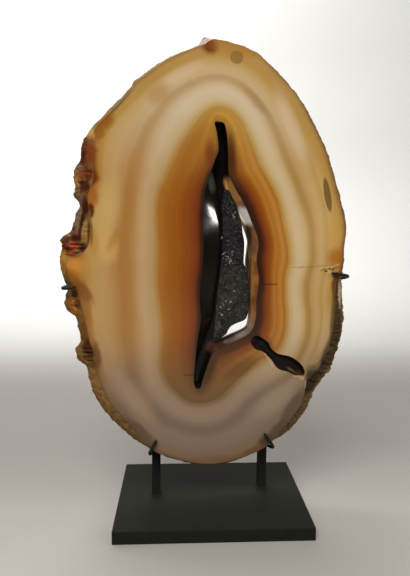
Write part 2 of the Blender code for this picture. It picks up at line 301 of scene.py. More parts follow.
def makeStainAndPaintedLightSpot():
    # A soft ragged oval on the slice, for stains, inclusions and patches of rind, and for painted highlights and
    # painted shade in the hollow and vein.
    group, start, end = newGroup("stainAndPaintedLightSpot", [
        ("Place", 'NodeSocketVector', None), ("Wobble", 'NodeSocketVector', None),
        ("Across", 'NodeSocketFloat', 0.0), ("Up", 'NodeSocketFloat', 0.0),
        ("Wide", 'NodeSocketFloat', 5.0), ("Tall", 'NodeSocketFloat', 5.0), ("Turn", 'NodeSocketFloat', 0.0),
        ("Soft", 'NodeSocketFloat', 0.3), ("Ragged", 'NodeSocketFloat', 0.3),
    ], ("Mask", 'NodeSocketFloat'))
    turned = turnedFrom(group, start, vectorNode(group, 'MULTIPLY', start["Place"], (1.0, 0.0, 1.0)))
    size = group.nodes.new('ShaderNodeCombineXYZ')
    group.links.new(start["Wide"], size.inputs["X"])
    size.inputs["Y"].default_value = 1.0
    group.links.new(start["Tall"], size.inputs["Z"])
    reach = vectorNode(group, 'DIVIDE', turned, size.outputs["Vector"])
    rough = vectorNode(group, 'SUBTRACT', start["Wobble"], (0.5, 0.5, 0.5))
    rough = vectorNode(group, 'SCALE', rough, mathNode(group, 'MULTIPLY', start["Ragged"], 3.0))
    distance = vectorNode(group, 'LENGTH', vectorNode(group, 'ADD', reach, rough))
    outer = mathNode(group, 'ADD', start["Soft"], 1.0)
    inner = mathNode(group, 'SUBTRACT', 1.0, start["Soft"])
    group.links.new(smoothStep(group, distance, inner, outer, 1.0, 0.0), end["Mask"])
    return group


def makeCrackAndHighlightLine():
    # A thin wandering line on the slice that fades out at both ends.
    group, start, end = newGroup("crackAndHighlightLine", [
        ("Place", 'NodeSocketVector', None), ("Across", 'NodeSocketFloat', 0.0), ("Up", 'NodeSocketFloat', 0.0),
        ("Turn", 'NodeSocketFloat', 0.0), ("Half Length", 'NodeSocketFloat', 5.0),
        ("Half Width", 'NodeSocketFloat', 0.3), ("Wander", 'NodeSocketFloat', 1.0),
    ], ("Mask", 'NodeSocketFloat'))
    parts = splitPlace(group, turnedFrom(group, start, start["Place"]))
    sway = mathNode(group, 'SUBTRACT', noiseNode(group, start["Place"], 0.25, 3.0, 0.6), 0.5)
    sway = mathNode(group, 'MULTIPLY', sway, start["Wander"])
    off = mathNode(group, 'ABSOLUTE', mathNode(group, 'ADD', parts["Z"], sway))
    along = mathNode(group, 'DIVIDE', mathNode(group, 'ABSOLUTE', parts["X"]), start["Half Length"])
    thin = smoothStep(group, mathNode(group, 'DIVIDE', off, start["Half Width"]), 0.6, 1.4, 1.0, 0.0)
    ends = smoothStep(group, along, 0.75, 1.0, 1.0, 0.0)
    group.links.new(mathNode(group, 'MULTIPLY', thin, ends), end["Mask"])
    return group


def makeStoneGrain():
    # Uneven grain from broad blotches to fine specks, 0 to 1.
    group, start, end = newGroup("stoneGrain", [
        ("Place", 'NodeSocketVector', None), ("Fine", 'NodeSocketFloat', 0.5),
    ], ("Grain", 'NodeSocketFloat'))
    broad = noiseNode(group, start["Place"], 0.18, 3.0, 0.55)
    fine = noiseNode(group, start["Place"], 1.3, 4.0, 0.7)
    mixed = mathNode(group, 'ADD', mathNode(group, 'MULTIPLY', fine, start["Fine"]),
                     mathNode(group, 'MULTIPLY', broad, mathNode(group, 'SUBTRACT', 1.0, start["Fine"])))
    group.links.new(smoothStep(group, mixed, 0.3, 0.7), end["Grain"])
    return group


standPlace = makeStandPlace()
edgeWobble = makeEdgeWobble()
stainAndPaintedLightSpot = makeStainAndPaintedLightSpot()
crackAndHighlightLine = makeCrackAndHighlightLine()
stoneGrain = makeStoneGrain()


def paintSpots(tree, place, color, spots):
    # Each spot: across, up, wide, tall, turn, soft, ragged, strength, colour.
    wobble = placeGroup(tree, edgeWobble, Place=place)
    for across, up, wide, tall, turn, soft, ragged, strength, tint in spots:
        mask = placeGroup(tree, stainAndPaintedLightSpot, Place=place, Wobble=wobble, Across=across, Up=up, Wide=wide, Tall=tall,
                          Turn=turn, Soft=soft, Ragged=ragged)
        color = mixNode(tree, mathNode(tree, 'MULTIPLY', mask, strength), color, stoneColor(*tint))
    return color


# Camera, floor and light

camera = {
    "place": (-25.061, -382.923, 214.702),
    "right turn": 2.903,
    "down": 6.701,
    "roll": 0.5085,
    "lens": 32.5,
}


def makeCamera():
    yaw = math.radians(camera["right turn"])
    pitch = math.radians(camera["down"])
    roll = math.radians(camera["roll"])
    ahead = Vector((math.sin(yaw) * math.cos(pitch), math.cos(yaw) * math.cos(pitch), -math.sin(pitch)))
    levelRight = Vector((math.cos(yaw), -math.sin(yaw), 0.0))
    levelUp = levelRight.cross(ahead)
    right = levelRight * math.cos(roll) + levelUp * math.sin(roll)
    up = levelUp * math.cos(roll) - levelRight * math.sin(roll)
    bpy.ops.object.camera_add()
    view = namePiece("photoCamera")
    view.matrix_world = (Matrix.Translation(Vector(camera["place"]) * mm)
                         @ Matrix((right, up, -ahead)).transposed().to_4x4())
    view.data.lens = camera["lens"]
    view.data.sensor_width = 36.0
    view.data.clip_start = 0.01
    scene.camera = view


studio = {
    "width": 3.8,
    "floor front": -1.6,
    "floor back": 0.5,
    "curve": 0.45,
    "steps": 16,
    "wall top": 1.7,
    "near floor": (0.335, 0.316, 0.289),
    "shaded far floor": (0.206, 0.193, 0.177),
    "lit wall color": (0.80, 0.79, 0.78),
    "floor fade": (-0.15, 0.13),
    "world": 0.10,
}


def makeStudio():
    # One sheet of pale paper: the floor's back edge is pulled up in a wide curve to make the wall.
    back = studio["floor back"]
    deep = back - studio["floor front"]
    deselectAll()
    bpy.ops.mesh.primitive_plane_add(size=1.0, location=(0.0, back - deep / 2, 0.0))
    sheet = namePiece("studioSheet")
    bpy.ops.transform.resize(value=(studio["width"], deep, 1.0))
    bpy.ops.object.transform_apply(location=True, rotation=False, scale=True)
    bpy.ops.object.mode_set(mode='EDIT')
    bpy.ops.mesh.select_all(action='DESELECT')
    shape = bmesh.from_edit_mesh(sheet.data)
    for vert in shape.verts:
        vert.select = vert.co.y > back - 0.001
    shape.select_flush_mode()
    radius = studio["curve"]
    heights = [(0.0, 0.0)]
    for step in range(1, studio["steps"] + 1):
        angle = math.pi / 2 * step / studio["steps"]
        heights.append((radius * math.sin(angle), radius * (1 - math.cos(angle))))
    heights.append((radius, studio["wall top"]))
    for (y, z), (nextY, nextZ) in zip(heights, heights[1:]):
        bpy.ops.mesh.extrude_region_move(TRANSFORM_OT_translate={"value": (0.0, nextY - y, nextZ - z)})
    bpy.ops.object.mode_set(mode='OBJECT')
    smoothPiece(sheet, 40.0)
    finish, tree, shader = newFinish("palePaper", Roughness=0.85)
    coordinates = tree.nodes.new('ShaderNodeTexCoord').outputs["Object"]
    away = splitPlace(tree, coordinates)["Y"]
    # The paper's colour carries painted light and shade: lighter near the front, darker further back, and far lighter
    # up the wall.
    color = mixNode(tree, smoothStep(tree, away, *studio["floor fade"]),
                    (*studio["near floor"], 1.0), (*studio["shaded far floor"], 1.0))
    color = mixNode(tree, smoothStep(tree, away, back - 0.25, back + radius * 0.9),
                    color, (*studio["lit wall color"], 1.0))
    grain = smoothStep(tree, noiseNode(tree, coordinates, 2.0, 3.0), 0.2, 0.8, 0.96, 1.04)
    tree.links.new(vectorNode(tree, 'SCALE', color, grain), shader.inputs["Base Color"])
    sheet.data.materials.append(finish)


lights = [
    # Name, place, aimed at, width, height, watts, colour
    ("keyLight", (-0.35, -0.85, 1.35), (0.0, 0.0, 0.17), 0.9, 0.7, 24.0, (1.0, 0.985, 0.965)),
    ("fillLight", (1.1, -0.75, 0.9), (0.0, 0.0, 0.15), 0.7, 0.7, 5.2, (1.0, 0.98, 0.96)),
    ("wallLight", (-0.45, 0.35, 1.35), (-0.35, 1.0, 0.45), 0.9, 0.4, 11.6, (1.0, 0.995, 0.985)),
    ("backLight", (-0.1, 0.5, 0.9), (0.0, 0.0, 0.2), 0.7, 0.4, 3.0, (1.0, 0.985, 0.965)),
    ("hollowLight", (0.566, -0.118, 0.270), (0.0, 0.0, 0.235), 0.042, 0.060, 0.75, (1.0, 0.98, 0.95)),
]


def makeLights():
    for name, place, aim, width, height, watts, color in lights:
        bpy.ops.object.light_add(type='AREA', location=place)
        lamp = namePiece(name)
        lamp.data.shape = 'RECTANGLE'
        lamp.data.size = width
        lamp.data.size_y = height
        lamp.data.energy = watts
        lamp.data.color = color
        lamp.rotation_euler = (Vector(aim) - Vector(place)).to_track_quat('-Z', 'Y').to_euler()
    world = bpy.data.worlds.new("studioAir")
    world.use_nodes = True
    world.node_tree.nodes["Background"].inputs["Color"].default_value = (1.0, 0.99, 0.98, 1.0)
    world.node_tree.nodes["Background"].inputs["Strength"].default_value = studio["world"]
    scene.world = world


makeCamera()
makeStudio()
makeLights()
print("camera, paper and lights are up")

# The stone. Every outline runs clockwise from the top, in millimetres on the slice, in six stretches that
# start at its top, right, lower right corner, foot, bottom and left.

slab = {
    "front": -12.3,
    "thick": 12.0,
    "around": 134,  # points in each of the six stretches
    "ledge": 9.0,
    "core": (-4.0, 130.0, 250.0),
    "crisp edge": 26.0,  # degrees: sharper edges aren't smoothed
}

# Rim of the polished face: across, up, and how far the rind stands out behind it.
rimOutline = [
    [(-3.0, 341.8, 2.4), (5.0, 341.0, 2.0), (14.0, 339.2, 2.0), (20.0, 337.5, 2.2), (24.0, 335.6, 2.0),
     (29.0, 333.9, 2.2), (35.0, 328.8, 2.4), (45.0, 319.8, 2.8), (55.0, 310.0, 3.0), (62.0, 300.6, 3.2),
     (68.0, 290.8, 3.4), (74.0, 280.6, 3.6), (80.0, 268.8, 3.8), (85.3, 254.0, 4.0), (89.8, 240.3, 4.4),
     (93.4, 228.0, 4.8), (95.6, 219.0, 5.0), (96.3, 211.0, 4.8), (95.3, 200.0, 5.0)],
    [(95.0, 190.0, 5.2), (94.3, 183.5, 5.6), (91.6, 176.5, 7.8), (90.5, 166.0, 9.6), (91.2, 152.0, 10.6),
     (90.7, 142.0, 11.2), (89.0, 132.0, 11.8), (86.3, 124.0, 12.4), (83.0, 116.0, 13.0), (80.0, 108.5, 13.6)],
    [(75.5, 104.6, 13.6), (71.6, 100.5, 14.4), (70.4, 94.5, 11.6), (69.6, 88.5, 10.0), (67.2, 81.5, 9.8),
     (63.0, 74.8, 9.6), (57.0, 67.2, 9.4), (50.5, 59.8, 7.4), (44.6, 52.6, 1.8), (38.0, 48.0, 1.4)],
    [(30.0, 44.4, 2.2), (20.0, 41.3, 3.0), (10.0, 38.9, 3.2), (0.0, 38.1, 3.2)],
    [(-10.0, 38.9, 3.0), (-20.0, 41.2, 2.6), (-30.0, 44.2, 2.2), (-38.0, 47.4, 2.0), (-43.8, 50.6, 1.4),
     (-50.0, 57.8, 5.4), (-58.6, 68.6, 8.2), (-65.8, 77.2, 9.0), (-72.4, 85.5, 9.2), (-77.4, 93.0, 8.8),
     (-81.0, 101.0, 8.2), (-83.4, 108.5, 7.4), (-84.6, 115.0, 7.4), (-85.2, 120.0, 12.6), (-86.8, 127.5, 12.4),
     (-88.8, 132.5, 7.2), (-90.8, 142.5, 6.4), (-92.3, 150.0, 6.6), (-93.4, 154.5, 11.2), (-94.8, 161.5, 11.6),
     (-96.6, 169.5, 7.8), (-101.0, 176.5, 5.4), (-103.2, 184.0, 5.2)],
    [(-102.8, 191.0, 6.2), (-94.5, 195.0, 13.8), (-89.2, 200.5, 18.2), (-88.0, 206.0, 19.6),
     (-87.4, 211.5, 13.8), (-86.6, 223.0, 10.6), (-88.4, 229.5, 6.5), (-88.6, 235.5, 10.2), (-86.4, 241.0, 11.2),
     (-84.2, 248.0, 14.2), (-84.6, 253.0, 13.2), (-85.2, 258.0, 8.6), (-84.8, 268.0, 8.2), (-84.4, 276.0, 4.4),
     (-80.8, 282.6, 3.2), (-74.6, 289.0, 2.8), (-65.0, 298.9, 2.6), (-57.4, 307.6, 2.2), (-55.0, 311.2, 3.0),
     (-49.0, 315.8, 2.6), (-40.0, 323.0, 2.4), (-30.0, 329.0, 2.2), (-20.0, 333.6, 2.2), (-12.5, 336.6, 2.6),
     (-8.4, 338.6, 6.4)],
]
# Where the beige bands end and the olive and amber skin under the rind starts.
skinLine = [
    [(2.0, 328.5), (14.0, 326.0), (26.0, 320.0), (38.0, 310.0), (48.0, 298.0), (57.0, 284.0), (65.0, 269.0),
     (71.0, 255.0), (77.0, 240.0), (80.5, 228.0), (82.5, 215.0), (83.0, 200.0)],
    [(83.0, 190.0), (81.0, 177.0), (80.0, 163.0), (81.0, 150.0), (80.5, 138.0), (78.0, 127.0), (73.0, 116.0)],
    [(68.0, 106.0), (61.0, 93.0), (52.0, 83.0), (43.0, 73.0)],
    [(33.0, 64.0), (20.0, 56.5), (6.0, 52.5)],
    [(-7.0, 51.0), (-20.0, 52.5), (-33.0, 57.0), (-45.0, 64.0), (-55.0, 74.0), (-63.0, 83.0), (-72.0, 95.0),
     (-77.0, 108.0), (-80.0, 120.0), (-84.0, 138.0), (-86.0, 152.0), (-87.0, 168.0)],
    [(-85.0, 188.0), (-81.0, 205.0), (-78.0, 222.0), (-77.5, 238.0), (-77.0, 252.0), (-76.5, 265.0),
     (-71.5, 280.0), (-62.0, 292.0), (-51.0, 303.0), (-40.0, 312.5), (-27.0, 321.0), (-12.0, 327.0)],
]
# Middle of the tan line that rings the cream band.
tanLine = [
    [(2.0, 317.0), (12.0, 315.0), (20.0, 310.5), (27.0, 305.0), (36.0, 294.0), (43.0, 281.0), (48.5, 268.0),
     (54.5, 255.0), (61.0, 241.0), (66.5, 230.0), (70.0, 220.0), (72.0, 208.0)],
    [(72.5, 190.0), (69.5, 177.0), (69.0, 163.0), (71.5, 149.0), (71.5, 137.0), (69.0, 127.0), (65.0, 118.0)],
    [(59.0, 106.0), (49.0, 98.0), (36.0, 91.0)],
    [(26.0, 82.5), (16.0, 73.5), (6.0, 67.5)],
    [(-6.0, 65.2), (-18.0, 66.5), (-30.0, 72.0), (-42.0, 80.0), (-52.0, 90.0), (-58.0, 104.0), (-60.5, 120.0),
     (-62.5, 140.0), (-63.0, 160.0)],
    [(-64.0, 190.0), (-63.5, 210.0), (-61.0, 230.0), (-58.5, 247.0), (-54.5, 262.0), (-49.0, 277.0),
     (-41.0, 291.0), (-31.0, 303.5), (-20.0, 310.5), (-9.0, 315.5)],
]
# Where the amber heart meets the cream band.
amberLine = [
    [(3.0, 298.5), (12.0, 296.0), (19.0, 289.0), (23.5, 280.0), (27.5, 270.0), (31.5, 260.0), (37.5, 250.0),
     (43.0, 240.0), (47.5, 230.0), (51.5, 215.0), (54.5, 202.0)],
    [(55.5, 190.0), (53.0, 178.0), (53.0, 165.0), (54.5, 150.0), (54.0, 138.0), (51.0, 128.0)],
    [(45.0, 121.0), (36.0, 116.5), (25.5, 108.0)],
    [(16.0, 98.5), (8.0, 90.5), (0.0, 86.5)],
    [(-9.0, 85.0), (-18.0, 86.5), (-26.0, 91.5), (-33.5, 99.0), (-38.0, 107.0), (-40.0, 118.0), (-39.0, 132.0),
     (-39.0, 146.0), (-40.0, 160.0), (-41.5, 175.0)],
    [(-42.0, 190.0), (-42.0, 205.0), (-42.5, 218.0), (-42.0, 232.0), (-38.5, 245.0), (-33.0, 257.0),
     (-27.0, 270.0), (-20.0, 281.0), (-13.0, 290.5), (-5.0, 297.0)],
]
# Hollow: across and up on the face, then across and up on the ledge that it narrows to.
hollowOutline = [
    [(2.0, 287.3, 3.0, 284.5), (6.0, 285.0, 5.4, 283.0), (8.0, 272.0, 7.0, 271.0), (8.6, 261.0, 7.8, 260.0),
     (9.2, 251.6, 8.6, 249.5), (14.7, 240.6, 12.2, 238.0), (21.0, 230.6, 17.8, 227.5),
     (25.5, 220.0, 23.0, 218.5), (30.0, 210.0, 26.8, 209.0), (31.6, 202.0, 28.2, 201.0)],
    [(30.4, 192.0, 27.6, 191.0), (32.5, 176.0, 28.6, 175.0), (31.0, 163.0, 28.6, 162.5),
     (31.0, 152.0, 28.6, 151.0), (29.5, 143.0, 27.8, 142.5)],
    [(25.0, 136.3, 24.0, 138.0), (14.0, 131.0, 15.0, 133.2)],
    [(4.0, 126.0, 5.5, 129.6), (-1.5, 122.0, 0.6, 126.5), (-5.0, 113.0, -4.5, 114.5), (-8.3, 103.0, -9.0, 104.0),
     (-10.0, 97.4, -10.6, 99.8)],
    [(-13.4, 97.4, -12.6, 99.8), (-14.8, 104.0, -13.2, 105.0), (-14.0, 116.0, -10.5, 117.0),
     (-12.5, 132.0, -5.0, 133.0), (-10.0, 148.0, 0.5, 148.0), (-11.0, 166.0, 2.5, 166.0)],
    [(-9.0, 186.0, 5.0, 186.0), (-8.5, 204.0, 6.0, 204.0), (-9.0, 222.0, 5.6, 221.0), (-7.5, 240.0, 3.8, 237.0),
     (-4.0, 252.5, 1.8, 250.0), (-0.6, 262.0, 1.4, 261.0), (1.6, 269.0, 2.6, 269.0), (0.2, 280.0, 1.4, 279.0),
     (-1.4, 286.6, 0.8, 284.0)],
]
# Window through the ledge.
windowOutline = [
    [(9.4, 239.0), (14.0, 232.0), (18.6, 223.5), (22.8, 213.5), (25.6, 205.0)],
    [(25.2, 198.0), (24.4, 189.0), (25.4, 180.0), (27.2, 171.0), (27.5, 160.0), (27.4, 149.0), (26.4, 142.0)],
    [(22.8, 138.6), (14.0, 134.9)],
    [(7.6, 132.4), (6.9, 133.2)],
    [(6.4, 134.6), (6.2, 137.0), (6.4, 152.0), (8.0, 170.0)],
    [(9.6, 188.0), (10.2, 206.0), (9.8, 223.0), (8.6, 234.0)],
]
# Open vein below the hollow: its upper and lower edges.
vein = {
    "upper": [(27.4, 132.0), (29.4, 134.8), (32.2, 135.4), (35.6, 133.8), (38.6, 131.8), (41.0, 129.4),
              (42.4, 126.4), (45.0, 123.4), (48.4, 121.3), (52.0, 120.3), (57.0, 119.2), (61.6, 116.8),
              (65.6, 113.5), (68.2, 110.4), (69.6, 106.4)],
    "lower": [(27.4, 130.4), (28.8, 127.6), (30.4, 125.6), (33.0, 124.3), (36.2, 123.4), (39.4, 120.9),
              (42.6, 117.6), (44.8, 114.6), (46.6, 111.8), (49.0, 109.6), (52.0, 108.3), (55.4, 107.5),
              (58.8, 105.8), (62.6, 104.4), (68.6, 104.0)],
    "points": 60,
    "depths": [(-1.0, -0.06), (0.0, 0.0), (0.5, 0.08), (1.6, 0.18), (3.2, 0.34), (5.0, 0.55)],
}
# Rind: depth behind the face, share of the standing out, roughness.
rindRows = [
    (0.0, 0.0, 0.0), (0.25, 0.04, 0.05), (0.7, 0.16, 0.3), (1.4, 0.34, 0.55), (2.2, 0.46, 0.7), (3.1, 0.57, 0.8),
    (4.0, 0.67, 0.9), (5.0, 0.76, 0.95), (6.0, 0.84, 0.95), (7.0, 0.91, 0.95), (8.0, 0.96, 0.95),
    (9.0, 1.0, 0.95), (9.9, 0.99, 0.85), (10.6, 0.97, 0.75), (11.2, 0.94, 0.55), (11.75, 0.9, 0.2),
    (12.0, 0.86, 0.0),
]


# Lumps on the rind: how often they come per mm, how strong, how often per mm of depth, and where the noise starts.
rindLumps = [(0.16, 1.0, 0.9, 0.0), (0.45, 0.6, 0.5, 4.0), (1.1, 0.38, 1.1, 9.0)]


def outlineRing(stretches):
    # The whole outline as one smooth closed curve, with the same number of points in each stretch.
    points = [point for stretch in stretches for point in stretch]
    steps = 12
    line = curvePoints(points, True, steps)
    ring = []
    start = 0
    for stretch in stretches:
        end = start + len(stretch) * steps
        ring += evenAlong(line[start:end + 1], slab["around"])
        start = end
    return ring


def awayFromCore(x, z):
    coreX, coreLow, coreHigh = slab["core"]
    return Vector((x - coreX, z - min(max(z, coreLow), coreHigh))).normalized()


def rindRing(rim, depth, share, roughness):
    ring = []
    for x, z, flare in rim:
        outward = awayFromCore(x, z)
        broken = 1.0 + 0.16 * min(max(flare - 5.0, 0.0), 8.0)
        lumps = 0.0
        for index, (often, strong, deep, start) in enumerate(rindLumps):
            lump = noise.noise(Vector((x * often, z * often, depth * deep + start)))
            lumps += strong * (broken if index else 1.0) * lump
        reach = flare * share + roughness * lumps
        pit = 0.0
        if flare > 4.0 and 0.5 < depth < 9.0:
            pit = (flare - 4.0) * 0.32 * abs(noise.noise(Vector((x * 0.3, z * 0.3, depth * 0.2 + 9.5))))
            pit += 0.5 * abs(noise.noise(Vector((x * 0.9, z * 0.9, depth * 0.8 + 2.5))))
        ring.append((x + outward.x * reach, depth + pit, z + outward.y * reach))
    return ring


def flatRing(points, depth):
    return [(point[0], depth, point[1]) for point in points]


def loftBetween(rows, first, last, count, startValue, endValue):
    # Adds count rows that lead from one ring to the next, with their band value.
    for step in range(1, count + 1):
        share = step / count
        rows.append((blendPoints(first, last, share), startValue + (endValue - startValue) * share))


def makeStone(bandFinish, rindFinish, hollowFinish, veinFinish):
    rim = outlineRing(rimOutline)
    skin = outlineRing(skinLine)
    tan = outlineRing(tanLine)
    amber = outlineRing(amberLine)
    hollow = outlineRing(hollowOutline)
    window = outlineRing(windowOutline)
    foot = [(c, d) for a, b, c, d in hollow]
    edge = [(a, b) for a, b, c, d in hollow]
    bands = [(edge, 0.0, 0), (amber, 0.3, 10), (tan, 0.55, 8), (skin, 0.72, 5), (rim, 1.0, 7)]
    thick = slab["thick"]

    # Each zone is a list of rings with a value that its finish reads.
    front = [(flatRing(edge, 0.0), 0.0)]
    for (inner, low, nothing), (outer, high, count) in zip(bands, bands[1:]):
        loftBetween(front, flatRing(inner, 0.0), flatRing(outer, 0.0), count, low, high)
    rind = [(rindRing(rim, depth, share, roughness), depth / thick) for depth, share, roughness in rindRows]
    backRim = [(x, z) for x, depth, z in rind[-1][0]]
    backBands = [(backRim, 1.0, 0), (skin, 0.72, 6), (tan, 0.55, 5), (amber, 0.3, 6), (window, 0.0, 6)]
    back = [(flatRing(backRim, thick), 1.0)]
    for (outer, high, nothing), (inner, low, count) in zip(backBands, backBands[1:]):
        loftBetween(back, flatRing(outer, thick), flatRing(inner, thick), count, high, low)
    wall = [(flatRing(window, thick), 1.0)]
    loftBetween(wall, flatRing(window, thick), flatRing(window, slab["ledge"]), 3, 1.0, 0.8)
    loftBetween(wall, flatRing(window, slab["ledge"]), flatRing(foot, slab["ledge"]), 5, 0.8, 0.7)
    for share in (0.96, 0.9, 0.8, 0.7, 0.6, 0.5, 0.4, 0.3, 0.2, 0.12, 0.06, 0.03, 0.0):
        ring = blendPoints(edge, foot, share)
        wall.append((flatRing(ring, slab["ledge"] * share), 0.7 * share))

    zones = [(front, 0), (rind, 1), (back, 0), (wall, 2)]
    rings = []
    loops = []
    for zone, slot in zones:
        for (ring, value), (following, nextValue) in zip(zone, zone[1:]):
            rings.append(ring)
            loops.append((value, nextValue, slot))
    rings.append(rings[0])
    around = len(rim)

    deselectAll()
    bpy.ops.mesh.primitive_grid_add(x_subdivisions=around, y_subdivisions=len(rings) - 1, size=0.3)
    stone = namePiece("agateStone")
    mesh = stone.data
    places = []
    for ring in rings:
        for index in range(around + 1):
            x, depth, z = ring[index % around]
            places += [x * mm, (slab["front"] + depth) * mm, z * mm]
    mesh.vertices.foreach_set("co", places)
    for finish in (bandFinish, rindFinish, hollowFinish, veinFinish):
        mesh.materials.append(finish)
    bandMap = mesh.uv_layers.active
    bandMap.name = "bandMap"
    for face in mesh.polygons:
        row = min(face.vertices) // (around + 1)
        low, high, slot = loops[row]
        face.material_index = slot
        for loop, vertex in zip(face.loop_indices, face.vertices):
            bandMap.data[loop].uv.y = low if vertex // (around + 1) == row else high
    closeAndFaceOut(stone)
    cutVein(stone, veinFinish)
    smoothPiece(stone, slab["crisp edge"])
    turnOntoStand(stone)
    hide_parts("agate_slice")
    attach(stone, "root")
    return stone


def cutVein(stone, veinFinish):
    # The vein is a narrowing trough: one ring of points, extruded down step by step.
    upper = evenAlong(curvePoints(vein["upper"], False), vein["points"], True)
    lower = evenAlong(curvePoints(vein["lower"], False), vein["points"], True)
    deselectAll()
    bpy.ops.mesh.primitive_circle_add(vertices=vein["points"] * 2, radius=0.01, fill_type='NGON')
    cutter = namePiece("veinCutter")
    bpy.ops.object.mode_set(mode='EDIT')
    shape = bmesh.from_edit_mesh(cutter.data)
    for step, (depth, narrowing) in enumerate(vein["depths"]):
        if step:
            bpy.ops.mesh.extrude_region_move()
            shape = bmesh.from_edit_mesh(cutter.data)
        first = blendPoints(upper, lower, narrowing / 2)
        second = blendPoints(lower, upper, narrowing / 2)
        ring = first + second[::-1]
        if step == 0:
            ends = list(shape.verts)
        else:
            ends = sorted([vert for vert in shape.verts if vert.select], key=lambda vert: vert.index)
        for vert, (x, z) in zip(ends, ring):
            ragged = 0.35 * noise.noise(Vector((x * 0.5, z * 0.5, depth))) if depth > 1.0 else 0.0
            vert.co = Vector((x + ragged, slab["front"] + depth, z + ragged)) * mm
        bmesh.update_edit_mesh(cutter.data)
        shape.verts.index_update()
    bpy.ops.mesh.select_all(action='SELECT')
    bpy.ops.mesh.normals_make_consistent(inside=False)
    bpy.ops.object.mode_set(mode='OBJECT')
    cutter.data.materials.append(veinFinish)
    cut = stone.modifiers.new("veinCut", 'BOOLEAN')
    cut.operation = 'DIFFERENCE'
    cut.object = cutter
    cut.solver = 'EXACT'
    cut.material_mode = 'TRANSFER'
    applyModifiers(stone)
    bpy.data.objects.remove(cutter, do_unlink=True)


# Polished bands. Band value 0 is the hollow's edge and 1 the rim.
# The top ramp is lighter and the bottom ramp darker and greyer: partly the stone's own colours, partly painted light
# and shade for how much light comes through the stone from behind.
bandColors = {
    "right": [
        (0.0, (44, 22, 11)), (0.045, (56, 27, 12)), (0.065, (92, 40, 18)), (0.10, (124, 58, 15)),
        (0.14, (140, 77, 16)), (0.175, (165, 107, 40)), (0.20, (158, 98, 32)), (0.24, (176, 119, 48)),
        (0.275, (154, 101, 32)), (0.30, (172, 128, 60)), (0.335, (183, 151, 98)), (0.38, (192, 168, 126)),
        (0.44, (191, 167, 128)), (0.49, (183, 152, 98)), (0.53, (160, 124, 64)), (0.56, (158, 119, 58)),
        (0.61, (176, 139, 84)), (0.66, (180, 149, 98)), (0.73, (170, 134, 70)), (0.78, (179, 147, 92)),
        (0.86, (173, 138, 74)), (0.94, (166, 122, 56)), (1.0, (122, 86, 42)),
    ],
    "left": [
        (0.0, (38, 22, 14)), (0.02, (62, 32, 17)), (0.04, (108, 50, 16)), (0.07, (124, 60, 20)),
        (0.12, (133, 70, 18)), (0.17, (142, 81, 21)), (0.22, (145, 86, 23)), (0.26, (153, 97, 33)),
        (0.285, (158, 105, 42)), (0.32, (168, 135, 82)), (0.36, (176, 144, 102)), (0.42, (181, 149, 104)),
        (0.47, (173, 134, 84)), (0.52, (161, 117, 61)), (0.57, (160, 113, 57)), (0.61, (168, 126, 72)),
        (0.66, (178, 140, 90)), (0.72, (177, 138, 82)), (0.78, (172, 128, 66)), (0.86, (163, 112, 48)),
        (0.94, (152, 100, 36)), (1.0, (110, 68, 26)),
    ],
    "top": [
        (0.0, (120, 84, 34)), (0.03, (158, 120, 52)), (0.09, (166, 126, 50)), (0.15, (185, 141, 62)),
        (0.2, (172, 131, 58)), (0.27, (168, 134, 66)), (0.31, (180, 152, 98)), (0.36, (191, 171, 132)),
        (0.44, (194, 175, 145)), (0.49, (190, 166, 132)), (0.535, (172, 144, 100)), (0.56, (171, 143, 99)),
        (0.6, (186, 158, 120)), (0.66, (184, 156, 110)), (0.72, (178, 145, 88)), (0.78, (169, 134, 70)),
        (0.86, (168, 132, 70)), (0.93, (167, 131, 72)), (0.975, (152, 118, 66)), (1.0, (128, 98, 56)),
    ],
    "bottom": [
        (0.0, (80, 54, 30)), (0.1, (98, 70, 38)), (0.2, (108, 79, 45)), (0.27, (103, 76, 43)),
        (0.31, (124, 97, 68)), (0.35, (141, 116, 90)), (0.42, (141, 118, 98)), (0.48, (134, 112, 93)),
        (0.54, (114, 94, 76)), (0.58, (116, 96, 78)), (0.64, (129, 107, 89)), (0.72, (126, 104, 85)),
        (0.8, (120, 99, 79)), (0.9, (120, 97, 72)), (0.96, (114, 86, 58)), (1.0, (86, 64, 42)),
    ],
}
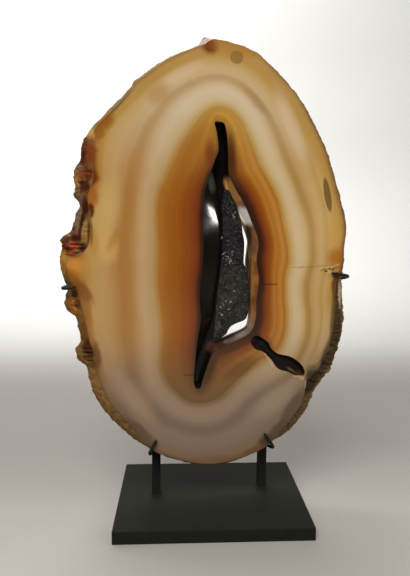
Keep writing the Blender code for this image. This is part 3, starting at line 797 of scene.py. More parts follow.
# Stains in the polished face: across, up, wide, tall, turn, soft, ragged, strength, colour.
faceSpots = [
    (76.0, 214.0, 22.0, 30.0, 0.0, 0.9, 0.05, 0.09, (240, 212, 160)),
    (28.0, 302.5, 3.0, 13.0, 44.0, 0.6, 0.1, 0.45, (138, 110, 58)),
    (-15.0, 272.0, 7.0, 20.0, -35.0, 0.8, 0.1, 0.5, (146, 86, 22)),
    (54.0, 286.0, 5.0, 24.0, 25.0, 0.6, 0.1, 0.55, (202, 180, 152)),
    (-25.0, 318.0, 16.0, 4.0, 30.0, 0.6, 0.1, 0.5, (204, 176, 144)),
    (-40.0, 304.0, 8.0, 6.0, 40.0, 0.6, 0.1, 0.5, (158, 120, 64)),
    (-75.0, 199.0, 6.0, 9.0, 0.0, 0.6, 0.1, 0.6, (206, 160, 90)),
    (46.0, 86.0, 18.0, 8.0, 35.0, 0.7, 0.1, 0.6, (150, 129, 108)),
    (-58.0, 92.0, 6.0, 20.0, 38.0, 0.7, 0.1, 0.65, (158, 129, 103)),
    (20.0, 111.0, 14.0, 5.0, 32.0, 0.6, 0.1, 0.65, (92, 60, 20)),
    (-72.0, 291.6, 17.0, 1.6, 45.5, 0.4, 0.15, 0.8, (112, 82, 42)),
    (-80.0, 218.0, 9.0, 27.0, -16.0, 0.5, 0.1, 0.75, (190, 158, 96)),
    (-71.0, 206.0, 3.0, 9.0, -30.0, 0.6, 0.1, 0.6, (165, 118, 44)),
    (-84.5, 202.0, 3.0, 9.0, 0.0, 0.6, 0.2, 0.5, (176, 118, 40)),
    (-77.0, 285.0, 7.0, 5.0, 45.0, 0.6, 0.3, 0.85, (136, 78, 20)),
    (-81.0, 277.5, 4.0, 5.0, 0.0, 0.5, 0.3, 0.8, (134, 84, 22)),
    (-85.5, 275.5, 2.2, 3.4, 0.0, 0.4, 0.2, 0.85, (196, 154, 82)),
    (-86.0, 262.0, 3.8, 13.0, 0.0, 0.5, 0.3, 0.9, (118, 58, 22)),
    (-86.0, 248.0, 4.6, 5.0, 0.0, 0.5, 0.3, 0.95, (98, 40, 8)),
    (-85.5, 234.0, 3.6, 7.0, 0.0, 0.5, 0.3, 0.85, (156, 92, 34)),
    (-87.0, 225.0, 2.6, 4.5, 0.0, 0.4, 0.3, 0.95, (84, 24, 2)),
    (-87.0, 211.0, 1.6, 9.0, 0.0, 0.5, 0.2, 0.8, (112, 68, 16)),
    (-99.0, 188.0, 7.0, 5.0, -20.0, 0.6, 0.2, 0.75, (202, 136, 58)),
    (-102.0, 181.0, 5.0, 4.0, 0.0, 0.5, 0.2, 0.6, (152, 88, 34)),
    (-93.0, 170.0, 10.0, 4.0, -55.0, 0.5, 0.3, 0.75, (112, 60, 20)),
    (-90.5, 158.0, 2.4, 12.0, 12.0, 0.6, 0.3, 0.5, (128, 88, 42)),
    (-84.5, 123.0, 3.4, 10.0, 6.0, 0.5, 0.3, 0.8, (90, 54, 20)),
    (-69.5, 82.0, 4.0, 15.0, 38.0, 0.5, 0.12, 0.7, (112, 86, 64)),
    (-55.0, 66.0, 4.4, 15.0, 46.0, 0.5, 0.12, 0.9, (90, 65, 44)),
    (60.5, 80.0, 4.4, 15.0, -33.0, 0.5, 0.12, 0.85, (84, 66, 54)),
    (50.0, 62.5, 4.4, 11.0, -45.0, 0.5, 0.12, 0.85, (76, 59, 42)),
    (40.0, 54.0, 4.0, 6.0, -50.0, 0.6, 0.2, 0.85, (64, 44, 26)),
    (30.0, 46.0, 9.0, 3.2, 20.0, 0.6, 0.2, 0.75, (100, 64, 40)),
    (0.0, 41.0, 34.0, 3.0, 0.0, 0.7, 0.15, 0.5, (108, 78, 50)),
    (-5.0, 337.0, 5.5, 4.5, 0.0, 0.5, 0.2, 0.95, (108, 48, 12)),
    (12.0, 336.0, 15.0, 4.0, -8.0, 0.6, 0.15, 0.6, (164, 112, 40)),
    (13.5, 331.0, 4.6, 4.4, 0.0, 0.12, 0.05, 0.75, (128, 96, 48)),
    (82.5, 238.5, 2.5, 12.5, 12.0, 0.15, 0.06, 0.85, (98, 72, 38)),
    (89.0, 210.0, 6.0, 17.0, -2.0, 0.6, 0.1, 0.6, (186, 144, 70)),
    (91.0, 193.0, 7.0, 6.0, 10.0, 0.6, 0.15, 0.8, (156, 92, 22)),
    (91.0, 172.0, 2.8, 8.0, 0.0, 0.4, 0.2, 0.9, (88, 54, 16)),
    (84.5, 134.0, 3.4, 18.0, -8.0, 0.7, 0.1, 0.5, (176, 152, 118)),
    (90.5, 148.0, 2.2, 22.0, -2.0, 0.6, 0.1, 0.85, (86, 64, 38)),
    (86.0, 119.0, 3.6, 14.0, -20.0, 0.6, 0.15, 0.95, (60, 44, 26)),
    (77.0, 105.0, 7.0, 6.0, 30.0, 0.4, 0.35, 0.95, (44, 33, 18)),
    (76.0, 110.0, 6.0, 2.6, 10.0, 0.6, 0.3, 0.6, (108, 96, 58)),
    (67.0, 101.8, 2.2, 1.4, -20.0, 0.4, 0.3, 0.85, (160, 134, 112)),
    (70.6, 96.5, 0.9, 4.0, 6.0, 0.4, 0.4, 0.7, (150, 136, 112)),
    (-4.5, 266.0, 3.4, 8.0, 0.0, 0.6, 0.2, 0.7, (112, 46, 20)),
    (10.8, 264.0, 3.2, 15.0, 4.0, 0.7, 0.1, 0.85, (64, 30, 10)),
    (-3.0, 111.0, 3.4, 13.0, -18.0, 0.7, 0.1, 0.85, (62, 40, 16)),
    (12.0, 126.0, 17.0, 2.6, 22.0, 0.7, 0.1, 0.75, (74, 40, 14)),
    (30.5, 134.0, 4.0, 5.0, 0.0, 0.6, 0.1, 0.85, (58, 28, 10)),
    (41.5, 128.5, 2.4, 6.0, 22.0, 0.7, 0.1, 0.6, (84, 46, 16)),
    (34.0, 176.0, 2.2, 9.0, 4.0, 0.6, 0.2, 0.8, (56, 22, 8)),
    (83.2, 182.8, 1.5, 0.7, 8.0, 0.4, 0.5, 0.9, (50, 34, 20)),
    (86.2, 184.6, 1.1, 0.6, -20.0, 0.4, 0.5, 0.9, (58, 38, 20)),
    (88.7, 184.0, 0.8, 0.8, 0.0, 0.4, 0.5, 0.9, (48, 30, 16)),
    (85.2, 183.2, 1.1, 0.6, 0.0, 0.4, 0.5, 0.85, (196, 172, 128)),
    (87.5, 185.7, 1.0, 0.6, 0.0, 0.4, 0.5, 0.8, (188, 160, 112)),
    (91.5, 187.6, 2.2, 0.7, 6.0, 0.5, 0.5, 0.6, (196, 156, 98)),
]
# Cracks, and one painted highlight: across, up, turn, half length, half width, wander, strength, colour.
faceCracksAndHighlight = [
    (74.0, 186.6, 3.0, 19.0, 0.35, 4.0, 0.5, (128, 88, 40)),
    (87.0, 184.6, 8.0, 9.0, 0.3, 4.5, 0.75, (60, 38, 18)),
    (40.0, 173.5, 0.0, 7.5, 0.35, 0.8, 0.85, (52, 20, 8)),
    (-18.5, 107.2, -3.0, 4.2, 0.35, 0.8, 0.95, (48, 22, 10)),
    # Painted highlight, not a crack: a pale line along the vein's lower polished edge.
    (41.6, 116.6, -56.0, 7.5, 0.42, 0.7, 0.85, (186, 156, 130)),
    (65.0, 103.0, -10.0, 5.0, 0.4, 1.0, 0.6, (172, 154, 128)),
]


def makeBandFinish():
    finish, tree, shader = newFinish("polishedAgate", Roughness=0.1, Coat_Weight=0.08, Coat_Roughness=0.03, IOR=1.5,
                                     Specular_IOR_Level=0.3, Subsurface_Weight=0.12, Subsurface_Scale=0.004)
    shader.inputs["Subsurface Radius"].default_value = (1.0, 0.55, 0.25)
    place = placeGroup(tree, standPlace)
    bandMap = tree.nodes.new('ShaderNodeUVMap')
    bandMap.uv_map = "bandMap"
    band = splitPlace(tree, bandMap.outputs["UV"])["Y"]
    sway = mathNode(tree, 'SUBTRACT', noiseNode(tree, place, 0.03, 2.0, 0.5), 0.5)
    ripple = mathNode(tree, 'SUBTRACT', noiseNode(tree, place, 0.13, 2.0, 0.5), 0.5)
    band = mathNode(tree, 'ADD', band, mathNode(tree, 'MULTIPLY', sway, 0.035))
    band = mathNode(tree, 'ADD', band, mathNode(tree, 'MULTIPLY', ripple, 0.012))
    across, away, up = splitPlace(tree, place)
    ramps = {side: rampNode(tree, band, stops) for side, stops in bandColors.items()}
    color = mixNode(tree, smoothStep(tree, across, -14.0, 26.0), ramps["left"], ramps["right"])
    # The top and bottom ramps carry painted light and shade as well as the stone's colour.
    color = mixNode(tree, smoothStep(tree, up, 236.0, 304.0), color, ramps["top"])
    color = mixNode(tree, smoothStep(tree, up, 150.0, 84.0), color, ramps["bottom"])

    # Fine lines that follow the bands, clearest in the amber heart.
    lineAt = mathNode(tree, 'MULTIPLY', band, 46.0)
    lineValue = tree.nodes.new('ShaderNodeTexNoise')
    lineValue.noise_dimensions = '1D'
    tree.links.new(lineAt, lineValue.inputs["W"])
    lineValue.inputs["Scale"].default_value = 1.0
    lineValue.inputs["Detail"].default_value = 3.0
    lines = mathNode(tree, 'SUBTRACT', lineValue.outputs["Fac"], 0.5)
    heart = smoothStep(tree, band, 0.32, 0.24, 0.10, 0.34)
    lines = mathNode(tree, 'ADD', mathNode(tree, 'MULTIPLY', lines, heart), 1.0)
    cloud = mathNode(tree, 'SUBTRACT', noiseNode(tree, place, 0.05, 3.0, 0.55), 0.5)
    shade = mathNode(tree, 'MULTIPLY', lines, mathNode(tree, 'ADD', mathNode(tree, 'MULTIPLY', cloud, 0.12), 1.0))
    color = vectorNode(tree, 'SCALE', color, shade)

    color = paintSpots(tree, place, color, faceSpots)
    for across, up, turn, halfLength, halfWidth, wander, strength, tint in faceCracksAndHighlight:
        mask = placeGroup(tree, crackAndHighlightLine, Place=place, Across=across, Up=up, Turn=turn, Half_Length=halfLength,
                          Half_Width=halfWidth, Wander=wander)
        color = mixNode(tree, mathNode(tree, 'MULTIPLY', mask, strength), color, stoneColor(*tint))
    tree.links.new(color, shader.inputs["Base Color"])
    grain = placeGroup(tree, stoneGrain, Place=place, Fine=0.4)
    tree.links.new(smoothStep(tree, grain, 0.0, 1.0, 0.07, 0.14), shader.inputs["Roughness"])
    return finish


# Patches of rind, in the same order as the stains.
rindSpots = [
    (-75.0, 291.0, 18.0, 3.0, 45.0, 0.3, 0.3, 0.9, (124, 94, 50)),
    (-86.0, 281.0, 4.0, 3.0, 45.0, 0.4, 0.3, 0.7, (132, 112, 76)),
    (-40.0, 322.0, 30.0, 6.0, 33.0, 0.5, 0.3, 0.7, (138, 106, 52)),
    (-86.0, 276.5, 3.4, 3.0, 0.0, 0.4, 0.3, 0.85, (190, 148, 78)),
    (-90.5, 264.0, 5.4, 11.0, 0.0, 0.4, 0.4, 0.95, (92, 44, 12)),
    (-87.0, 264.0, 2.2, 7.0, 0.0, 0.5, 0.4, 0.9, (136, 62, 20)),
    (-92.0, 260.0, 1.6, 6.0, 0.0, 0.4, 0.4, 0.8, (62, 32, 14)),
    (-94.5, 254.5, 2.6, 2.4, 0.0, 0.4, 0.4, 0.8, (112, 86, 60)),
    (-97.0, 250.0, 2.0, 4.0, 0.0, 0.4, 0.3, 0.9, (132, 104, 62)),
    (-94.0, 249.0, 2.4, 3.4, 0.0, 0.5, 0.4, 0.9, (140, 78, 20)),
    (-91.0, 250.0, 2.4, 2.6, 0.0, 0.5, 0.4, 0.9, (126, 62, 28)),
    (-87.5, 249.0, 3.0, 4.0, 0.0, 0.5, 0.4, 0.95, (104, 42, 12)),
    (-96.0, 245.0, 2.0, 3.4, 0.0, 0.5, 0.4, 0.9, (176, 122, 58)),
    (-90.5, 241.5, 4.0, 5.0, 0.0, 0.5, 0.4, 0.97, (66, 24, 8)),
    (-95.5, 239.5, 1.8, 3.4, 0.0, 0.5, 0.4, 0.85, (124, 84, 48)),
    (-97.5, 236.0, 1.8, 1.6, 0.0, 0.4, 0.4, 0.8, (96, 72, 54)),
    (-93.5, 228.5, 2.2, 6.0, -8.0, 0.4, 0.3, 0.9, (112, 92, 78)),
    (-96.5, 217.5, 2.2, 6.0, -14.0, 0.4, 0.3, 0.9, (120, 96, 78)),
    (-90.3, 228.0, 2.4, 7.0, 0.0, 0.4, 0.3, 0.97, (62, 16, 2)),
    (-92.8, 218.0, 1.5, 7.0, -10.0, 0.4, 0.3, 0.97, (52, 18, 2)),
    (-94.6, 210.0, 1.4, 6.0, -8.0, 0.4, 0.3, 0.97, (66, 30, 4)),
    (-91.0, 211.0, 2.3, 8.0, -6.0, 0.3, 0.25, 0.97, (156, 118, 58)),
    (-88.2, 209.0, 1.1, 9.0, 0.0, 0.4, 0.3, 0.9, (80, 46, 12)),
    (-99.5, 211.0, 3.0, 2.4, 0.0, 0.4, 0.4, 0.9, (88, 66, 54)),
    (-98.0, 206.0, 3.4, 3.4, 0.0, 0.5, 0.4, 0.95, (80, 28, 10)),
    (-104.5, 205.5, 2.8, 2.4, 0.0, 0.4, 0.4, 0.9, (96, 64, 48)),
    (-99.5, 200.5, 3.4, 2.8, 0.0, 0.5, 0.4, 0.97, (178, 72, 44)),
    (-104.5, 200.0, 3.0, 4.0, 0.0, 0.5, 0.4, 0.95, (102, 38, 8)),
    (-91.6, 199.0, 3.8, 3.0, 0.0, 0.5, 0.4, 0.97, (68, 20, 4)),
    (-100.5, 195.5, 3.6, 2.4, 0.0, 0.5, 0.4, 0.9, (126, 54, 18)),
    (-92.0, 195.0, 1.6, 1.4, 0.0, 0.4, 0.4, 0.8, (140, 92, 54)),
    (-106.5, 188.0, 3.0, 8.0, 0.0, 0.5, 0.2, 0.9, (160, 116, 40)),
    (-104.0, 177.0, 3.0, 4.0, 0.0, 0.5, 0.3, 0.9, (116, 82, 36)),
    (-99.0, 167.5, 2.6, 3.0, 0.0, 0.5, 0.4, 0.95, (70, 38, 12)),
    (-103.0, 168.5, 1.8, 2.2, 0.0, 0.4, 0.4, 0.8, (102, 80, 54)),
    (-101.0, 161.0, 3.4, 3.4, 0.0, 0.5, 0.4, 0.9, (174, 100, 44)),
    (-96.5, 160.5, 2.4, 4.0, 0.0, 0.5, 0.4, 0.9, (92, 52, 16)),
    (-99.5, 155.0, 3.0, 2.8, 0.0, 0.5, 0.4, 0.9, (166, 108, 34)),
    (-95.8, 149.0, 2.6, 5.5, 0.0, 0.5, 0.3, 0.9, (138, 94, 42)),
    (-93.0, 140.0, 3.4, 7.0, 6.0, 0.5, 0.3, 0.9, (108, 76, 32)),
    (-90.0, 128.0, 4.6, 7.0, 0.0, 0.5, 0.4, 0.95, (66, 32, 12)),
    (-92.5, 121.0, 2.0, 2.0, 0.0, 0.5, 0.4, 0.9, (106, 62, 28)),
    (-88.0, 117.5, 3.0, 3.4, 0.0, 0.5, 0.4, 0.8, (86, 52, 20)),
    (-82.0, 97.0, 5.0, 18.0, 24.0, 0.5, 0.3, 0.85, (148, 107, 60)),
    (-66.0, 73.0, 5.0, 15.0, 40.0, 0.5, 0.3, 0.85, (134, 100, 60)),
    (-50.0, 58.0, 4.0, 8.0, 48.0, 0.5, 0.3, 0.75, (138, 108, 76)),
    (0.0, 37.0, 45.0, 4.0, 0.0, 0.5, 0.3, 0.8, (104, 76, 46)),
    (57.0, 65.0, 5.0, 13.0, -45.0, 0.5, 0.3, 0.8, (88, 68, 44)),
    (69.0, 82.0, 5.0, 12.0, -28.0, 0.5, 0.3, 0.8, (84, 66, 44)),
    (75.0, 97.0, 6.0, 10.0, -30.0, 0.5, 0.3, 0.97, (42, 31, 17)),
    (86.0, 112.0, 6.0, 14.0, -28.0, 0.5, 0.3, 0.97, (58, 44, 26)),
    (94.0, 138.0, 6.0, 26.0, 0.0, 0.5, 0.15, 0.97, (62, 48, 26)),
    (96.0, 166.0, 1.8, 10.0, 4.0, 0.3, 0.5, 0.95, (182, 160, 132)),
    (93.0, 168.0, 1.6, 12.0, 0.0, 0.4, 0.3, 0.9, (72, 42, 14)),
    (96.0, 188.0, 3.0, 9.0, 0.0, 0.5, 0.3, 0.8, (140, 88, 40)),
    (97.0, 207.0, 3.0, 12.0, 0.0, 0.5, 0.3, 0.7, (146, 102, 48)),
    (-7.0, 341.0, 7.0, 3.0, 12.0, 0.4, 0.3, 0.85, (184, 168, 158)),
    (-5.0, 339.5, 2.4, 1.4, 0.0, 0.4, 0.3, 0.8, (120, 70, 48)),
]


def makeRindFinish():
    finish, tree, shader = newFinish("roughRind", Roughness=0.7, Specular_IOR_Level=0.1)
    place = placeGroup(tree, standPlace)
    grain = placeGroup(tree, stoneGrain, Place=place, Fine=0.45)
    color = mixNode(tree, grain, stoneColor(96, 68, 32), stoneColor(142, 110, 60))
    color = paintSpots(tree, place, color, rindSpots)
    cells = cellNode(tree, place, 0.9)
    tone = smoothStep(tree, noiseNode(tree, place, 1.1, 4.0, 0.7), 0.3, 0.7, 0.62, 1.3)
    color = vectorNode(tree, 'SCALE', color, tone)
    specks = smoothStep(tree, noiseNode(tree, place, 1.7, 4.0, 0.75), 0.6, 0.74)
    color = mixNode(tree, mathNode(tree, 'MULTIPLY', specks, 0.08), color, stoneColor(196, 160, 104))
    tree.links.new(color, shader.inputs["Base Color"])
    tree.links.new(smoothStep(tree, grain, 0.0, 1.0, 0.5, 0.85), shader.inputs["Roughness"])
    height = mathNode(tree, 'ADD', mathNode(tree, 'MULTIPLY', cells, 0.6), noiseNode(tree, place, 2.2, 5.0, 0.65))
    tree.links.new(bumpNode(tree, height, 0.7, 0.0008), shader.inputs["Normal"])
    return finish


def makeHollowFinish():
    # Nearly black glass on the left slope, tan stone on the right wall and along the foot, a black window edge, with
    # painted highlights, a painted sheen and painted shade on the walls and ledge.
    finish, tree, shader = newFinish("glassyHollow", Roughness=0.08, IOR=1.54, Specular_IOR_Level=0.15)
    place = placeGroup(tree, standPlace)
    where = splitPlace(tree, place)
    cloud = noiseNode(tree, place, 0.12, 3.0, 0.55)
    black = mixNode(tree, cloud, stoneColor(11, 9, 6), stoneColor(22, 17, 12))
    tan = mixNode(tree, smoothStep(tree, cloud, 0.3, 0.7), stoneColor(112, 66, 30), stoneColor(164, 110, 62))
    sideways = mathNode(tree, 'ADD', where["X"], mathNode(tree, 'MULTIPLY', cloud, 3.0))
    color = mixNode(tree, smoothStep(tree, sideways, 15.0, 20.0), black, tan)
    color = paintSpots(tree, place, color, [
        (13.5, 131.8, 18.0, 4.6, 22.0, 0.3, 0.1, 0.97, (62, 40, 24)),
        (27.5, 140.0, 3.6, 4.4, 0.0, 0.6, 0.1, 0.8, (92, 66, 46)),
        (-1.5, 126.0, 3.2, 4.0, 0.0, 0.5, 0.1, 0.85, (74, 46, 30)),
        (20.5, 135.6, 4.5, 1.2, 22.0, 0.5, 0.2, 0.7, (96, 86, 74)),
        # Painted shadow: a thin black line along the ledge under the window's lower edge.
        (12.8, 134.3, 13.6, 0.8, 23.5, 0.3, 0.1, 0.97, (14, 11, 8)),
        # Painted highlight: a pale patch on the ledge at the lower right corner of the wall.
        (26.9, 145.2, 1.5, 4.2, 0.0, 0.5, 0.2, 0.8, (150, 130, 106)),
        # The stone's own tan on the upper right wall, raised lighter as painted light.
        (13.5, 240.2, 3.4, 9.8, 28.0, 0.4, 0.1, 0.95, (206, 148, 84)),
        # Painted shade: dark strips down the right wall beside the window's slit.
        (26.0, 207.0, 1.9, 11.0, 8.0, 0.5, 0.1, 0.95, (38, 28, 16)),
        (25.7, 190.0, 1.4, 10.0, 3.0, 0.4, 0.1, 0.95, (32, 23, 13)),
        (27.6, 170.0, 0.9, 24.0, 0.0, 0.6, 0.1, 0.9, (40, 28, 15)),
        (29.0, 197.0, 2.4, 4.0, 0.0, 0.6, 0.3, 0.6, (88, 66, 46)),
        # Painted highlight: a near-white patch on the right wall stands in for a reflection.
        (22.6, 222.8, 2.8, 7.4, 32.0, 0.4, 0.1, 1.0, (255, 251, 244)),
        # Painted sheen: a grey streak on the left slope, above the lamp's highlight, stands in for a reflection.
        (-2.5, 245.5, 2.6, 6.0, 8.0, 0.6, 0.2, 0.8, (66, 70, 66)),
    ])
    color = mixNode(tree, smoothStep(tree, where["Y"], -3.15, -2.5), color, stoneColor(18, 14, 10))
    tree.links.new(color, shader.inputs["Base Color"])
    tree.links.new(smoothStep(tree, sideways, 6.0, 14.0, 0.08, 0.42), shader.inputs["Roughness"])
    height = noiseNode(tree, place, 0.3, 2.0, 0.5)
    tree.links.new(bumpNode(tree, height, 0.02, 0.0005), shader.inputs["Normal"])
    return finish


def makeVeinFinish():
    finish, tree, shader = newFinish("darkVein", Roughness=0.3, IOR=1.5, Specular_IOR_Level=0.2)
    place = placeGroup(tree, standPlace)
    grain = placeGroup(tree, stoneGrain, Place=place, Fine=0.5)
    color = mixNode(tree, grain, stoneColor(16, 11, 7), stoneColor(36, 26, 16))
    color = paintSpots(tree, place, color, [
        (42.5, 123.5, 3.0, 4.0, 30.0, 0.5, 0.3, 0.7, (40, 20, 14)),
        # Painted reflections: the two blue-grey marks below are a faint sheen on the vein's black floor.
        (37.0, 129.0, 2.6, 1.8, -60.0, 0.5, 0.3, 0.6, (44, 52, 58)),
        (51.0, 116.0, 4.0, 1.8, -50.0, 0.5, 0.4, 0.5, (38, 38, 44)),
        (60.0, 107.6, 4.0, 0.8, -28.0, 0.4, 0.6, 0.7, (104, 84, 62)),
        (66.5, 105.6, 2.4, 1.6, 0.0, 0.5, 0.4, 0.7, (84, 48, 34)),
        (29.0, 131.0, 2.0, 4.0, 0.0, 0.5, 0.2, 0.8, (52, 26, 12)),
    ])
    tree.links.new(color, shader.inputs["Base Color"])
    height = mathNode(tree, 'ADD', cellNode(tree, place, 0.7), noiseNode(tree, place, 1.2, 4.0, 0.6))
    tree.links.new(bumpNode(tree, height, 0.6, 0.0006), shader.inputs["Normal"])
    return finish


stone = makeStone(makeBandFinish(), makeRindFinish(), makeHollowFinish(), makeVeinFinish())
print("stone:", len(stone.data.polygons), "faces")

# Crust of small dark crystals in the hollow
crust = {
    "left": [(0.3, 130.2), (0.8, 136.0), (1.4, 143.0), (2.2, 152.0), (3.2, 166.0), (5.6, 186.0), (6.6, 204.0),
             (6.4, 220.0), (5.4, 233.0), (7.6, 241.5)],
    "right": [(3.4, 131.3), (9.6, 135.0), (11.6, 138.4), (13.8, 141.4), (17.8, 143.5), (21.8, 144.9),
              (24.8, 146.6), (26.2, 150.0), (27.2, 154.0), (27.4, 160.0), (27.2, 170.0), (26.0, 179.0),
              (24.6, 184.5), (22.7, 188.5), (22.8, 197.0), (22.8, 204.0), (21.4, 211.0), (20.4, 218.0),
              (16.6, 229.4), (10.6, 241.2)],
    "rows": 110,
    "columns": 24,
    "back": 8.7,
    "face": 7.4,
    "swell": 0.9,
    "crystals": 1500,
    "width": (0.45, 1.25),
    # Pale crystals: partly clear quartz, partly painted glints, their whitish colour standing in for sparkles of
    # light.
    "clear": [(6.0, 207.0), (8.0, 196.0), (10.5, 193.0), (12.5, 191.0), (14.0, 196.5), (9.0, 191.0), (15.0, 225.0),
              (13.6, 223.6), (14.6, 221.8), (11.5, 189.0), (7.5, 158.0), (12.0, 154.0), (6.0, 151.0), (9.5, 161.0),
              (13.0, 160.0), (5.0, 156.0)],
    "clear glinting crystals in a cluster": 4,
}


def crustPoint(left, right, upShare, acrossShare):
    row = upShare * (len(left) - 1)
    low = min(int(row), len(left) - 2)
    start = blendPoints([left[low]], [left[low + 1]], row - low)[0]
    end = blendPoints([right[low]], [right[low + 1]], row - low)[0]
    x = start[0] + (end[0] - start[0]) * acrossShare
    z = start[1] + (end[1] - start[1]) * acrossShare
    edge = math.sin(math.pi * min(max(acrossShare, 0.0), 1.0)) ** 0.5 * min(1.0, upShare * 14, (1 - upShare) * 14)
    lumps = 0.7 * noise.noise(Vector((x * 0.25, z * 0.25, 3.0))) + 0.3 * noise.noise(Vector((x * 0.8, z * 0.8, 7.0)))
    return x, crust["face"] - (crust["swell"] + lumps) * edge, z


def makeCrystal(size, height):
    # One six-sided crystal with a short shaft and a slightly uneven point.
    bpy.ops.mesh.primitive_cone_add(vertices=6, radius1=size, radius2=size * 0.86, depth=height, end_fill_type='NGON')
    crystal = namePiece("crystal")
    bpy.ops.object.mode_set(mode='EDIT')
    bpy.ops.mesh.select_all(action='DESELECT')
    shape = bmesh.from_edit_mesh(crystal.data)
    for face in shape.faces:
        face.select = face.normal.z > 0.9
    bpy.ops.mesh.extrude_region_move()
    bpy.ops.transform.translate(value=(size * 0.12, size * 0.06, size * 0.9))
    bpy.ops.transform.resize(value=(0.16, 0.16, 1.0))
    bpy.ops.object.mode_set(mode='OBJECT')
    return crystal


def makeCrust(finish, clearAndGlintFinish):
    draw = random.Random(11)
    left = evenAlong(curvePoints(crust["left"], False), crust["rows"] + 1, True)
    right = evenAlong(curvePoints(crust["right"], False), crust["rows"] + 1, True)
    deselectAll()
    bpy.ops.mesh.primitive_grid_add(x_subdivisions=crust["columns"], y_subdivisions=crust["rows"], size=0.1)
    bed = namePiece("crustBed")
    places = []
    for row in range(crust["rows"] + 1):
        for column in range(crust["columns"] + 1):
            x, depth, z = crustPoint(left, right, row / crust["rows"], column / crust["columns"])
            places += [x * mm, (slab["front"] + depth) * mm, z * mm]
    bed.data.vertices.foreach_set("co", places)
    bed.data.update()
    bpy.ops.object.mode_set(mode='EDIT')
    bpy.ops.mesh.select_all(action='SELECT')
    bpy.ops.mesh.extrude_region_move()
    shape = bmesh.from_edit_mesh(bed.data)
    for vert in shape.verts:
        if vert.select:
            vert.co.y = (slab["front"] + crust["back"]) * mm
    bmesh.update_edit_mesh(bed.data)
    bpy.ops.mesh.select_all(action='SELECT')
    bpy.ops.mesh.normals_make_consistent(inside=False)
    bpy.ops.object.mode_set(mode='OBJECT')
    bed.data.materials.append(finish)
    bed.data.materials.append(clearAndGlintFinish)

    # One crystal is the pattern for all; its copies go into the bed's own mesh.
    deselectAll()
    pattern = makeCrystal(0.5, 0.9)
    model = bmesh.new()
    model.from_mesh(bed.data)
    corners = [vertex.co.copy() for vertex in pattern.data.vertices]
    sides = [tuple(face.vertices) for face in pattern.data.polygons]
    bpy.data.objects.remove(pattern, do_unlink=True)

    def plant(x, depth, z, size, tilt, slot):
        outward = Vector((draw.gauss(0.0, tilt), -1.0, draw.gauss(0.0, tilt))).normalized()
        turn = outward.to_track_quat('Z', 'Y').to_matrix() @ Matrix.Rotation(draw.uniform(0.0, math.pi), 3, 'Z')
        length = draw.uniform(0.8, 1.5)
        base = Vector((x, slab["front"] + depth + size * 0.1, z))
        verts = [model.verts.new((base + turn @ Vector((c.x * size, c.y * size, c.z * size * length))) * mm)
                 for c in corners]
        for side in sides:
            face = model.faces.new([verts[index] for index in side])
            face.material_index = slot

    for number in range(crust["crystals"]):
        upShare = draw.uniform(0.01, 0.99)
        x, depth, z = crustPoint(left, right, upShare, draw.uniform(0.03, 0.97))
        size = draw.uniform(*crust["width"]) * (0.75 if z > 196 else 1.0)
        plant(x, depth, z, size, 0.42, 0)
    # The pale crystals' whitish colour is partly a painted glint.
    for x, z in crust["clear"]:
        for number in range(crust["clear glinting crystals in a cluster"]):
            plant(x + draw.uniform(-0.9, 0.9), 5.9, z + draw.uniform(-0.9, 0.9), draw.uniform(0.4, 0.8), 0.6, 1)
    model.to_mesh(bed.data)
    model.free()
    bed.name = "crystalCrust"
    turnOntoStand(bed)
    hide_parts("druzy_crust")
    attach(bed, "root")
    return bed


def makeCrystalFinish():
    finish, tree, shader = newFinish("smokyCrystals", Roughness=0.12, IOR=1.55)
    place = placeGroup(tree, standPlace)
    grain = placeGroup(tree, stoneGrain, Place=place, Fine=0.55)
    where = splitPlace(tree, place)
    cells = cellNode(tree, place, 0.8, output="Color")
    dark = mixNode(tree, grain, stoneColor(12, 11, 12), stoneColor(36, 34, 35))
    dusty = mixNode(tree, grain, stoneColor(22, 21, 18), stoneColor(54, 51, 45))
    color = mixNode(tree, smoothStep(tree, where["Z"], 196.0, 176.0), dark, dusty)
    tone = mathNode(tree, 'ADD', mathNode(tree, 'MULTIPLY', cells, 0.5), 0.75)
    color = vectorNode(tree, 'SCALE', color, tone)
    tree.links.new(color, shader.inputs["Base Color"])
    tree.links.new(smoothStep(tree, grain, 0.2, 0.8, 0.06, 0.3), shader.inputs["Roughness"])
    return finish


# Whitish crystals: clear quartz whose pale colour also stands in for painted glints.
def makeClearAndGlintFinish():
    finish, tree, shader = newFinish("clearCrystalsAndGlints", Roughness=0.1, IOR=1.55)
    place = placeGroup(tree, standPlace)
    grain = placeGroup(tree, stoneGrain, Place=place, Fine=0.7)
    color = mixNode(tree, grain, stoneColor(96, 94, 92), stoneColor(196, 194, 190))
    tree.links.new(color, shader.inputs["Base Color"])
    return finish


crystalCrust = makeCrust(makeCrystalFinish(), makeClearAndGlintFinish())
print("crust:", len(crystalCrust.data.polygons), "faces")

# Stand
paint = {"black": (30, 30, 26), "worn": (50, 50, 45), "wear": 0.3, "dust": (110, 106, 98), "dusting": 0.12}


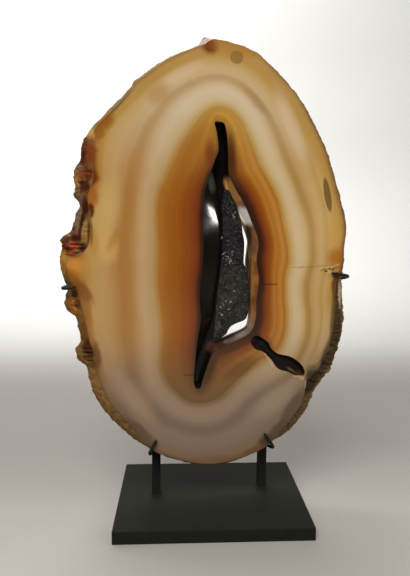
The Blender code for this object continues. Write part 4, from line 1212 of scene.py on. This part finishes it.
def makePaintFinish(name, shine, smoothest, roughest, grainHeight):
    finish, tree, shader = newFinish(name, Specular_IOR_Level=shine)
    place = placeGroup(tree, standPlace)
    grain = placeGroup(tree, stoneGrain, Place=place, Fine=0.6)
    wear = mathNode(tree, 'MULTIPLY', grain, paint["wear"])
    color = mixNode(tree, wear, stoneColor(*paint["black"]), stoneColor(*paint["worn"]))
    dust = smoothStep(tree, noiseNode(tree, place, 0.9, 4.0, 0.7), 0.66, 0.8)
    color = mixNode(tree, mathNode(tree, 'MULTIPLY', dust, paint["dusting"]), color, stoneColor(*paint["dust"]))
    tree.links.new(color, shader.inputs["Base Color"])
    tree.links.new(smoothStep(tree, grain, 0.0, 1.0, smoothest, roughest), shader.inputs["Roughness"])
    height = noiseNode(tree, place, 3.0, 4.0, 0.6)
    tree.links.new(bumpNode(tree, height, grainHeight, 0.0002), shader.inputs["Normal"])
    return finish


paintFinish = makePaintFinish("satinBlackPaint", 0.012, 0.42, 0.6, 0.25)
wireFinish = makePaintFinish("wireBlackPaint", 0.07, 0.28, 0.42, 0.12)

for node in ("base_plate", "left_post", "right_post"):
    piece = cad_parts[node]
    for place in piece.material_slots:
        place.material = paintFinish

wires = {
    "radius": 1.2,
    "side points": 46,
    "foot points": 24,
    "tip": {0: 0.55, 1: 0.92},  # share of the radius at the last points
    "routes": {
        "left_foot_prong": [(-43.4, -0.1, 46.4), (-44.4, -4.0, 46.7), (-45.8, -9.0, 47.6), (-46.9, -12.3, 48.7),
                            (-47.1, -13.7, 50.2), (-46.0, -13.9, 52.4), (-42.1, -13.9, 59.2)],
        "right_foot_prong": [(43.4, -0.1, 46.8), (44.0, -4.0, 47.1), (45.0, -9.0, 47.8), (45.9, -12.3, 48.8),
                             (45.6, -13.7, 50.3), (43.9, -13.9, 52.9), (38.8, -13.9, 60.5)],
        "left_side_wire": [(-44.8, 3.2, 152.0), (-60.0, 3.0, 157.3), (-80.0, 2.6, 164.5), (-97.0, 2.6, 169.8),
                           (-104.2, 1.6, 171.2), (-106.7, -2.5, 171.5), (-106.9, -9.5, 171.6),
                           (-105.3, -13.4, 171.8), (-102.0, -13.9, 172.1), (-97.4, -13.9, 172.8)],
        "right_side_wire": [(44.8, 3.2, 160.0), (60.0, 3.0, 164.8), (80.0, 2.6, 171.0), (94.0, 2.4, 174.8),
                            (100.0, 1.2, 176.1), (102.5, -3.0, 177.2), (102.0, -9.0, 178.5), (99.2, -13.2, 179.6),
                            (95.0, -13.9, 180.4), (87.2, -13.9, 181.5)],
    },
}


def makeWire(node, route):
    # A round wire with a rounded tip, drawn through the route.
    deselectAll()
    bpy.ops.curve.primitive_nurbs_path_add()
    wire = namePiece("wire_" + node)
    curve = wire.data
    curve.splines.clear()
    count = wires["side points" if "side" in node else "foot points"]
    line = evenAlong(curvePoints(route, False), count, True, 3)
    spline = curve.splines.new('POLY')
    spline.points.add(len(line) - 1)
    for index, (point, (x, y, z)) in enumerate(zip(spline.points, line)):
        point.co = (x * mm, y * mm, z * mm, 1.0)
        left = len(line) - 1 - index
        uneven = 0.03 * noise.noise(Vector((x * 0.4, y * 0.4, z * 0.4)))
        point.radius = wires["tip"].get(left, 1.0) + uneven
    curve.bevel_depth = wires["radius"] * mm
    curve.bevel_resolution = 6
    curve.use_fill_caps = True
    bpy.ops.object.convert(target='MESH')
    wire = bpy.context.object
    closeAndFaceOut(wire)
    smoothPiece(wire, 50.0)
    wire.data.materials.clear()
    wire.data.materials.append(wireFinish)
    turnOntoStand(wire)
    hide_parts(node)
    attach(wire, "root")


for node, route in wires["routes"].items():
    makeWire(node, route)

# Weld beads round the posts: name, middle, half side of the square that the bead follows, bead radius, ripple.
welds = [
    ("weldLeftPost", (-41.6, 3.175, 9.5), 3.3, 0.8, 0.12),
    ("weldRightPost", (41.6, 3.175, 9.5), 3.5, 1.15, 0.3),
]
# Weld beads at the wires' ends: name, middle, and the axis that it faces along.
wireWelds = [
    ("weldLeftFootProng", (-43.4, -0.3, 46.4), 'Y'),
    ("weldRightFootProng", (43.4, -0.3, 46.8), 'Y'),
    ("weldLeftSideWire", (-44.9, 3.2, 152.0), 'X'),
    ("weldRightSideWire", (44.9, 3.2, 160.0), 'X'),
]


def rippleBead(piece, amount, seed):
    for vertex in piece.data.vertices:
        bump = noise.noise(vertex.co * 900.0 + Vector((seed, 0.0, 0.0)))
        vertex.co += vertex.normal * bump * amount * mm


def finishBead(piece):
    piece.data.materials.append(paintFinish)
    smoothPiece(piece, 60.0)
    turnOntoStand(piece)
    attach(piece, "root")


for number, (name, middle, half, radius, ripple) in enumerate(welds):
    deselectAll()
    bpy.ops.mesh.primitive_torus_add(major_radius=half * 1.15 * mm, minor_radius=radius * mm, major_segments=96,
                                     minor_segments=14)
    bead = namePiece(name)
    for vertex in bead.data.vertices:
        # The ring is pulled out to the post's square.
        flat = Vector((vertex.co.x, vertex.co.y))
        angle = math.atan2(flat.y, flat.x)
        square = half / max(abs(math.cos(angle)), abs(math.sin(angle)))
        onPath = min(square, half * 1.28)
        off = flat.length - half * 1.15 * mm
        reach = onPath * mm + off
        vertex.co.x = math.cos(angle) * reach
        vertex.co.y = math.sin(angle) * reach
        vertex.co.z *= 0.8
    bead.data.update()
    rippleBead(bead, ripple, number * 5.0)
    bead.data.transform(Matrix.Translation(Vector(middle) * mm))
    finishBead(bead)

for number, (name, middle, facing) in enumerate(wireWelds):
    deselectAll()
    bpy.ops.mesh.primitive_uv_sphere_add(segments=28, ring_count=14, radius=1.9 * mm)
    bead = namePiece(name)
    flatten = (0.45, 1.0, 1.0) if facing == 'X' else (1.0, 0.45, 1.0)
    bead.data.transform(Matrix.Diagonal((*flatten, 1.0)))
    rippleBead(bead, 0.18, number * 7.0 + 2.0)
    bead.data.transform(Matrix.Translation(Vector(middle) * mm))
    finishBead(bead)
print("stand is painted and welded")
